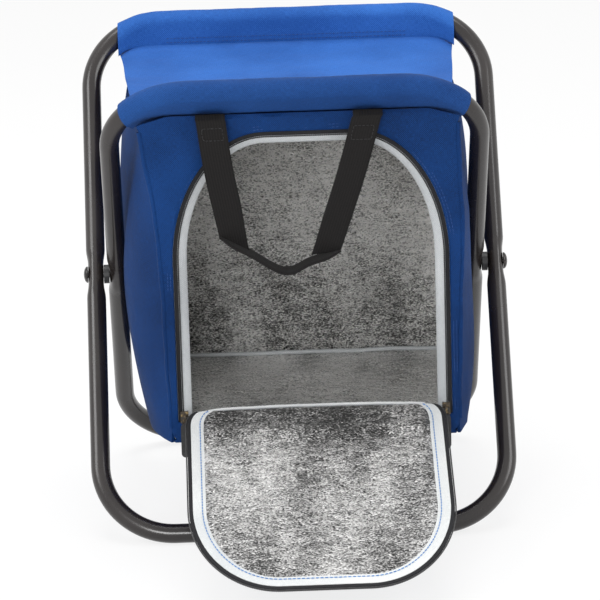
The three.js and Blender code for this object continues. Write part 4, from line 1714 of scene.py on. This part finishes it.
    def zip_half(self, finishes: Finishes) -> None:
        """Build the facing, tape and teeth on the bag.

        Args:
            finishes: All materials of the stool.
        """
        a = self.arch
        facing = self.strip("opening_edge", a.hole, a.hole + self.facing, -1.5, -GAP, -a.foot, 0.25,
                            finishes.facing, 7.0)
        ride(facing, Body.FRONT, "white_binding", "opening_facing")
        teeth_out = -a.gap - a.tooth
        tape = self.strip("body_zip_tape", teeth_out - GAP - a.tape, teeth_out - 0.2, *a.tape_faces, -a.foot,
                          0.1, finishes.tape)
        ride(tape, Body.FRONT, "zip_tape", "zip_tape_body")
        middle = [(self.centre_foot + x, y) for x, y in a.curve(-a.gap - a.tooth / 2, -a.foot)]
        row = coil("body_zip_teeth", middle, a.tooth / 2, *a.teeth_faces, self.on_panel, finishes.teeth)
        ride(row, Body.FRONT, "zip_teeth", "zip_teeth_body")
        for index, inset in enumerate(self.stitch_insets):
            line = [self.on_panel(self.centre_foot + x, self.cloth + 0.35, y)
                    for x, y in a.curve(a.hole - inset, -4)]
            ride(stitches(f"opening_stitching_{index}", line, finishes.thread_dark), Body.FRONT, "blue_cloth")

    def seams(self, finishes: Finishes) -> None:
        """Build the piped seams of the front panel and the seams inside.

        Args:
            finishes: All materials of the stool.
        """
        steps = [k / 40 for k in range(41)]
        for word, side in (("left", -1), ("right", 1)):
            front, back = [], []
            for step in steps:
                share = mix(0.05, 0.955, step)
                x = self.front_centre(share) + side * (self.front_half(share) + 0.4)
                front.append(Vector((x, self.panel_back - 1.2, self.floor + self.tall * share)))
                share = mix(0.0, 0.95, step)
                x = self.back_centre + side * (self.back_half + 0.6)
                back.append(Vector((x, self.back_y(share) + 0.8, self.floor + self.tall * share)))
            piped = self.seam(f"front_piping_{word}", front, self.piping, finishes.piping)
            ride(piped, Body.FRONT, "blue_cloth")
            piped = self.seam(f"back_piping_{word}", back, self.back_piping, finishes.piping)
            ride(piped, Body.BACK, "blue_cloth")
        fold, lip = [], []
        for step in steps:
            x = self.back_centre + mix(-self.back_half + 6, self.back_half - 6, step)
            lift = 1.5 + 0.8 * ripple(x * 0.03, 2.0, 5.0)
            y = self.back_y(0) - self.cloth - 3.4 + 0.6 * ripple(x * 0.05, 1, 1)
            fold.append(Vector((x, y, self.floor + 4.4 + lift)))
            x = self.centre_foot + mix(-88, 90, step)
            rise = math.sin(math.pi * step) ** 0.5
            y = self.panel_back + 3.0 + 1.2 * ripple(x * 0.02, 3, 2)
            lip.append(Vector((x, y, self.lip + 0.2 + 2.2 * rise)))
        ride(self.seam("inner_floor_seam", fold, self.floor_seam, finishes.facing), Body.BACK, "foil_lining")
        # The foil's curled lip is painted in white cloth: a painted highlight along the foil's front edge.
        ride(self.seam("foil_lip_highlight", lip, self.lip_seam, finishes.white), Body.FRONT, "foil_lining")


@dataclass
class Door:
    """The arched door, drawn shut and turned about its fold line to where it lies."""

    bag: Bag
    open_angle: float = 110.7
    stand_off: float = 3.4
    rays: int = 300
    sewn_inset: float = 3.0  # the binding's seam, from its inner edge
    tuck_in: float = 1.2  # how far the foil goes under the binding
    shell_faces: tuple[float, float] = (1.6, 3.0)
    foil_faces: tuple[float, float] = (0.4, 1.3)
    binding_faces: tuple[float, float] = (0.1, 1.4)
    thread_faces: tuple[float, float] = (-0.42, 3.55)

    def __post_init__(self) -> None:
        """Work out the fold line and the turn."""
        self.arch = self.bag.arch
        self.hinge = Vector((self.bag.centre_foot, self.bag.panel_back - self.stand_off, self.bag.lip))
        self.turn = Matrix.Rotation(math.radians(self.open_angle), 3, "X")

    def place(self, x: float, near: float, up: float) -> Vector:
        """Return a point of the open door from its place on the shut door."""
        return self.hinge + self.turn @ Vector((x, self.stand_off - near, up))

    def plate(self, name: str, inset: float, near: float, far: float, wave: float, under: float,
              finish: Material) -> Piece:
        """Make a sheet of the door's outline.

        Args:
            name: The piece's name.
            inset: Inset of its edge from the teeth line.
            near: Face towards the bag.
            far: Outer face.
            wave: Relief on the near face.
            under: Relief on the far face.
            finish: Its material.

        Returns:
            The object.
        """
        rim = self.arch.door_curve(inset)
        centre = (0.0, self.arch.middle)
        turns = [2 * math.pi * k / self.rays for k in range(self.rays)]
        hits = [ray_hit(rim, centre, t) for t in turns]
        shares = [0.02] + [k / 40 for k in range(2, 40)] + [0.985, 1.0]
        flat = [[(mix(centre[0], x, s), mix(centre[1], y, s)) for x, y in hits] for s in shares]
        draft = MeshDraft()
        for face, level, way, size in ((0, near, -1, wave), (1, far, 1, under)):
            rows = []
            for share, ring in zip(shares, flat):
                soft = smooth((1 - share) / 0.06)
                row = []
                for x, y in ring:
                    crush = ripple(x * 0.10, y * 0.17, 6.0 + face, 4) * 0.8
                    crush += ripple(x * 0.03, y * 0.045, 2.0, 3)
                    fold = 2.2 * math.exp(-((y - 30 - 12 * ripple(x * 0.02, 0, 3)) / 7) ** 2)
                    fold += 1.6 * math.exp(-((y - 66 - 22 * ripple(x * 0.017, 1, 5)) / 9) ** 2)
                    lift = (0.45 + crush * 0.55 + fold * 0.6) * soft * size
                    row.append(self.place(x, level + way * lift, y))
                rows.append(row)
            draft.grid(rows, wrap=True, coords=flat)
        width, total = self.rays, self.rays * len(shares)
        draft.join(width, (len(shares) - 1,), total)
        draft.faces.append(tuple(range(width)))
        draft.faces.append(tuple(reversed(range(total, total + width))))
        return draft.build(name, finish)

    def strip(self, name: str, outer: float, inner: float, near: float, far: float, crown: float,
              finish: Material) -> Piece:
        """Make a band round the door.

        Args:
            name: The piece's name.
            outer: Inset of its outer edge from the teeth line.
            inner: Inset of its inner edge.
            near: Its face towards the bag.
            far: Its outer face.
            crown: How much its middle swells.
            finish: Its material.

        Returns:
            The object.
        """
        curve = self.arch.door_curve
        return band(name, curve(outer), curve(inner), near, far, crown, self.place, finish)

    def make(self, finishes: Finishes) -> None:
        """Build the door's cloth, foil, binding, zip half and stitching.

        Args:
            finishes: All materials of the stool.
        """
        a = self.arch
        shell = self.plate("door_cloth", a.door_edge, *self.shell_faces, 0.0, 0.3, finishes.blue)
        ride(shell, Body.DOOR, "blue_cloth", "door_shell")
        foil = self.plate("door_foil", a.door_edge + a.binding - self.tuck_in, *self.foil_faces, 1.7, 0.0,
                          finishes.foil)
        ride(foil, Body.DOOR, "foil_lining", "door_lining")
        binding = self.strip("door_edge_binding", a.door_edge, a.door_edge + a.binding, *self.binding_faces,
                             0.45, finishes.white)
        ride(binding, Body.DOOR, "white_binding", "door_binding")
        tape_in = a.gap + a.tooth + 0.2
        tape = self.strip("door_tape", tape_in, tape_in + a.door_tape + 0.5, *a.tape_faces, 0.1,
                          finishes.tape)
        ride(tape, Body.DOOR, "zip_tape", "zip_tape_door")
        middle = a.door_curve(a.gap + a.tooth / 2)
        row = coil("door_teeth", middle, a.tooth / 2, *a.teeth_faces, self.place, finishes.teeth)
        ride(row, Body.DOOR, "zip_teeth", "zip_teeth_door")
        sewn = a.door_curve(a.door_edge + a.binding - self.sewn_inset)[2:-2]
        line = [self.place(x, self.thread_faces[0], y) for x, y in sewn]
        thread = stitches("binding_stitching", line, finishes.thread_blue, 3.6, 2.9, 0.42)
        ride(thread, Body.DOOR, "white_binding")
        back = [self.place(x, self.thread_faces[1], y) for x, y in sewn]
        ride(stitches("door_back_stitching", back, finishes.thread_dark), Body.DOOR, "blue_cloth")


@dataclass
class Handle:
    """One webbing, sewn under the front sleeve at both ends; it turns on edge at the bottom."""

    bag: Bag
    width: float = 24.0
    thick: float = 1.6
    left_top: float = -68.5
    right_top: float = 58.5
    left_foot: float = -52.0
    right_foot: float = 22.0
    stand_off: float = 9.5
    bottom: float = 232.0
    shoulder: float = 262.0
    root: float = 361.0
    slant: float = 14.0
    bow: float = 1.8
    swell: float = 1.2
    end_half: float = 4.0  # the grip's half width where it meets the straps
    end_back: float = 5.2
    strap_steps: int = 20
    lanes: tuple = (-1, -0.93, -0.5, 0, 0.5, 0.93, 1)  # across the webbing, in half widths

    def strap(self, side: int) -> list[tuple[Vector, Vector]]:
        """Return a flat strap's two edges, from under the sleeve down to the slanted fold.

        Args:
            side: 1 on the right, -1 on the left.

        Returns:
            Its inner and outer edge, point by point.
        """
        face = -self.bag.tubes.bar_y + self.bag.inset
        seam, hang = face - GAP - self.thick / 2, face - self.stand_off
        top, foot = (self.left_top, self.left_foot) if side < 0 else (self.right_top, self.right_foot)
        end, slant = (self.shoulder, self.slant) if side < 0 else (self.shoulder - self.slant, self.slant / 3)
        rough = [(top, seam, self.root - self.thick), (top, (seam + hang) / 2, self.root),
                 (top, hang, self.root - 2 * self.thick)]
        for k in range(1, self.strap_steps + 1):
            share = k / self.strap_steps
            bow, swell = self.bow * math.sin(math.pi * share) * side, self.swell * math.sin(math.pi * share)
            rough.append((mix(top, foot, share) + bow, hang - swell, mix(self.root, end, share)))
        rows = []
        for k, (x, y, z) in enumerate(rough):
            last = smooth((k - 16) / 6)
            inner = Vector((x - side * self.width / 2, y, z))
            outer = Vector((x + side * self.width / 2, y, z))
            inner.z -= last * slant
            outer.z -= last * 1.5
            rows.append((inner, outer))
        return rows

    def band_line(self) -> list[Vector]:
        """Return the middle of the grip, which stands on edge between the straps' outer corners.

        Returns:
            Points of the line.
        """
        face = -self.bag.tubes.bar_y + self.bag.inset
        low = face - self.bag.cloth - self.width / 2 - GAP
        half, middle = self.width / 2, (self.left_foot + self.right_foot) / 2
        marks = [(self.left_foot - half, self.shoulder - 1),
                 (self.left_foot + half, self.shoulder - self.slant), (middle + 3, self.bottom),
                 (self.right_foot - half, self.shoulder - 1.6 * self.slant),
                 (self.right_foot + half, self.shoulder - 1.1 * self.slant)]
        line = []
        for i in range(len(marks) - 1):
            p = [marks[min(max(i + d, 0), len(marks) - 1)] for d in (-1, 0, 1, 2)]
            for k in range(10):
                t = k / 10
                weights = (-0.5 * t + t * t - 0.5 * t ** 3, 1 - 2.5 * t * t + 1.5 * t ** 3,
                           0.5 * t + 2 * t * t - 1.5 * t ** 3, -0.5 * t * t + 0.5 * t ** 3)
                line.append(Vector((sum(w * q[0] for w, q in zip(weights, p)), low,
                                    sum(w * q[1] for w, q in zip(weights, p)))))
        return line + [Vector((marks[-1][0], low, marks[-1][1]))]

    def section(self, middle: Vector, spread: Callable[[float], Vector], out: Vector) -> list[Vector]:
        """Return a section of the webbing, thinner at its edges.

        Args:
            middle: Its middle.
            spread: Gives the offset of a place across, in half widths.
            out: Direction out of its face.

        Returns:
            Points across the back, then back across the face.
        """
        found = []
        for face, order in ((-1, self.lanes), (1, self.lanes[::-1])):
            for a in order:
                edge = 0.5 if abs(a) == 1 else 1
                found.append(middle + spread(a) + out * (face * self.thick / 2 * edge))
        return found

    def add(self, draft: MeshDraft, rows: list[list[Vector]], pitch: float) -> None:
        """Add sections to a draft as a closed length of webbing, so many millimetres apart.

        Args:
            draft: The draft.
            rows: The sections.
            pitch: From section to section.
        """
        places = self.lanes + self.lanes[::-1]
        coords = [[(a * self.width / 2, k * pitch) for a in places] for k in range(len(rows))]
        draft.grid(rows, wrap=True, coords=coords)
        draft.caps(rows)

    def make(self, finishes: Finishes) -> None:
        """Build the straps and the grip as one piece.

        Args:
            finishes: All materials of the stool.
        """
        draft = MeshDraft()
        for side in (-1, 1):
            rows = []
            for k, (inner, outer) in enumerate(self.strap(side)):
                half = (outer - inner) / 2
                out = Vector((0, -1, 0)) if k > 1 else Vector((0, -0.3, 1)).normalized()
                rows.append(self.section((inner + outer) / 2, lambda a, half=half: half * a, out))
            self.add(draft, rows, 5.0)
        rows, line = [], self.band_line()
        for k, at in enumerate(line):
            way = (line[min(k + 1, len(line) - 1)] - line[max(k - 1, 0)]).normalized()
            ends = smooth(min(k, len(line) - 1 - k) / 6)
            half = mix(self.end_half, self.width / 2, ends)
            middle = at + Vector((0, mix(self.end_back, 0.0, ends), 0))
            rows.append(self.section(middle, lambda a, half=half: Vector((0, a * half, 0)),
                                     way.cross(Vector((0, 1, 0)))))
        self.add(draft, rows, 3.0)
        ride(draft.build("handle_webbing", finishes.web), Body.HANDLE, "black_webbing", "carry_handle")
        self.box_stitches(finishes)

    def box_stitches(self, finishes: Finishes) -> None:
        """Sew each strap's top with a small box of thread.

        Args:
            finishes: All materials of the stool.
        """
        for word, side in (("left", -1), ("right", 1)):
            inner, outer = self.strap(side)[4]
            low_inner, low_outer = self.strap(side)[6]
            corners = [inner.lerp(outer, 0.15), inner.lerp(outer, 0.85), low_inner.lerp(low_outer, 0.85),
                       low_inner.lerp(low_outer, 0.15)]
            path = [c + Vector((0, -self.thick / 2 - 0.15, 0)) for c in corners + corners[:1]]
            ride(stitches(f"handle_box_{word}", path, finishes.teeth), Body.HANDLE, "black_webbing")


@dataclass(frozen=True)
class Studio:
    """Pale floor, soft lamps and the camera."""

    target: tuple[float, float, float] = (2.82, 0.0, 165.31)
    azimuth: float = -0.02163
    elevation: float = 0.27183
    roll: float = -0.02881
    distance: float = 3601.09
    lens: float = 254.75
    sensor: float = 36.0
    ambient: float = 0.55
    clear: float = 0.8  # how far the camera sees the floor as plain white
    lamps: tuple = (("key", (-2.0, -0.7, 1.9), (1.0, 1.6), 26), ("fill", (2.0, -0.9, 1.5), (1.0, 1.6), 19),
                    ("front", (-0.5, -3.0, 1.1), (1.0, 1.0), 36), ("top", (0, 0.4, 2.3), (1.6, 1.2), 27))

    def camera(self) -> None:
        """Place the camera at the photograph's angle."""
        back = Vector((math.sin(self.azimuth) * math.cos(self.elevation),
                       -math.cos(self.azimuth) * math.cos(self.elevation), math.sin(self.elevation)))
        right = Vector((math.cos(self.azimuth), math.sin(self.azimuth), 0))
        up = back.cross(right)
        side = right * math.cos(self.roll) + up * math.sin(self.roll)
        over = up * math.cos(self.roll) - right * math.sin(self.roll)
        data = bpy.data.cameras.new("camera")
        data.lens, data.sensor_width, data.clip_end = self.lens, self.sensor, 100.0
        made = linked("camera", data)
        at = Vector(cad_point(*self.target)) + back * self.distance * MM
        made.matrix_world = Matrix.Translation(at) @ Matrix((side, over, back)).transposed().to_4x4()
        bpy.context.scene.camera = made

    def lamp(self, name: str, at: Point, size: Point, power: float) -> None:
        """Place a soft lamp that faces the stool.

        Args:
            name: Its name.
            at: Its place, in metres.
            size: Its width and height, in metres.
            power: Its power, in watts.
        """
        data = bpy.data.lights.new(name, "AREA")
        data.shape, data.size, data.size_y, data.energy = "RECTANGLE", size[0], size[1], power
        made = linked(name, data)
        made.location = at
        aim = Vector((0, 0, 0.2)) - Vector(at)
        made.rotation_euler = aim.to_track_quat("-Z", "Y").to_euler()

    def seen(self, nodes: Nodes, share: float) -> Value:
        """Return a share where the camera sees the background, directly or by reflection, and else 0.

        Args:
            nodes: Where the nodes are added.
            share: The share.

        Returns:
            The value.
        """
        path = nodes.node("ShaderNodeLightPath")
        total = Value(nodes, path.outputs["Is Camera Ray"])
        for kind in ("Is Glossy Ray", "Is Transmission Ray"):
            total = total.math("MAXIMUM", Value(nodes, path.outputs[kind]))
        return total * share

    def world(self, strength: float) -> None:
        """Light evenly, and show white behind the stool.

        Args:
            strength: Strength of the light from all round.
        """
        world = bpy.data.worlds.new("studio")
        bpy.context.scene.world = world
        world.use_nodes = True
        nodes = Nodes(world.node_tree)
        ground = next(n for n in nodes.tree.nodes if n.type == "BACKGROUND")
        level = nodes.node("ShaderNodeMapRange", None, {0: self.seen(nodes, 1.0), 3: strength, 4: 1.0})
        nodes.feed(ground.inputs["Strength"], level.outputs[0])
        nodes.feed(ground.inputs["Color"], (1, 1, 1, 1))

    def floor(self, clear: float) -> None:
        """Lay the pale floor, white to the camera by a share, so that it keeps a faint shadow.

        Args:
            clear: How far the camera sees it as plain white.
        """
        mesh = bpy.data.meshes.new("floor")
        mesh.from_pydata([(-8, -8, 0), (8, -8, 0), (8, 12, 0), (-8, 12, 0)], [], [(0, 1, 2, 3)])
        made = linked("floor", mesh)
        s = Shader("floor", roughness=0.9, specular_ior_level=0.1)
        s.colour((0.95, 0.95, 0.95, 1))
        s.roughness(0.85 + s.noise(s.place(), 30, 2) * 0.1)
        white = s.node("ShaderNodeEmission", None, {"Strength": 1.0})
        shaders = {0: self.seen(s, clear), 1: s.bsdf.outputs[0], 2: white.outputs[0]}
        blend = s.node("ShaderNodeMixShader", None, shaders)
        target = next(n for n in s.tree.nodes if n.type == "OUTPUT_MATERIAL")
        s.feed(target.inputs[0], blend.outputs[0])
        made.data.materials.append(s.material)

    def make(self) -> None:
        """Build the studio."""
        self.camera()
        self.floor(self.clear)
        self.world(self.ambient)
        for lamp in self.lamps:
            self.lamp(*lamp)
        bpy.context.scene.view_settings.view_transform = "Standard"


def main() -> None:
    """Build the stool in order, then the studio."""
    logging.basicConfig(level=logging.INFO, format="%(name)s: %(message)s")
    finishes = Finishes()
    tubes = Frame()
    bag = Bag(tubes, Arch())
    Studio().make()
    tubes.make(finishes)
    Seat(tubes).make(finishes)
    bag.make(finishes)
    Door(bag).make(finishes)
    Handle(bag).make(finishes)
    for word in ("left", "right"):
        frame["nodes"][f"zip_slider_{word}"].material_slots[0].material = finishes.zinc
        frame["nodes"][f"zip_pull_{word}"].material_slots[0].material = finishes.teeth


if __name__ == "__main__":
    main()
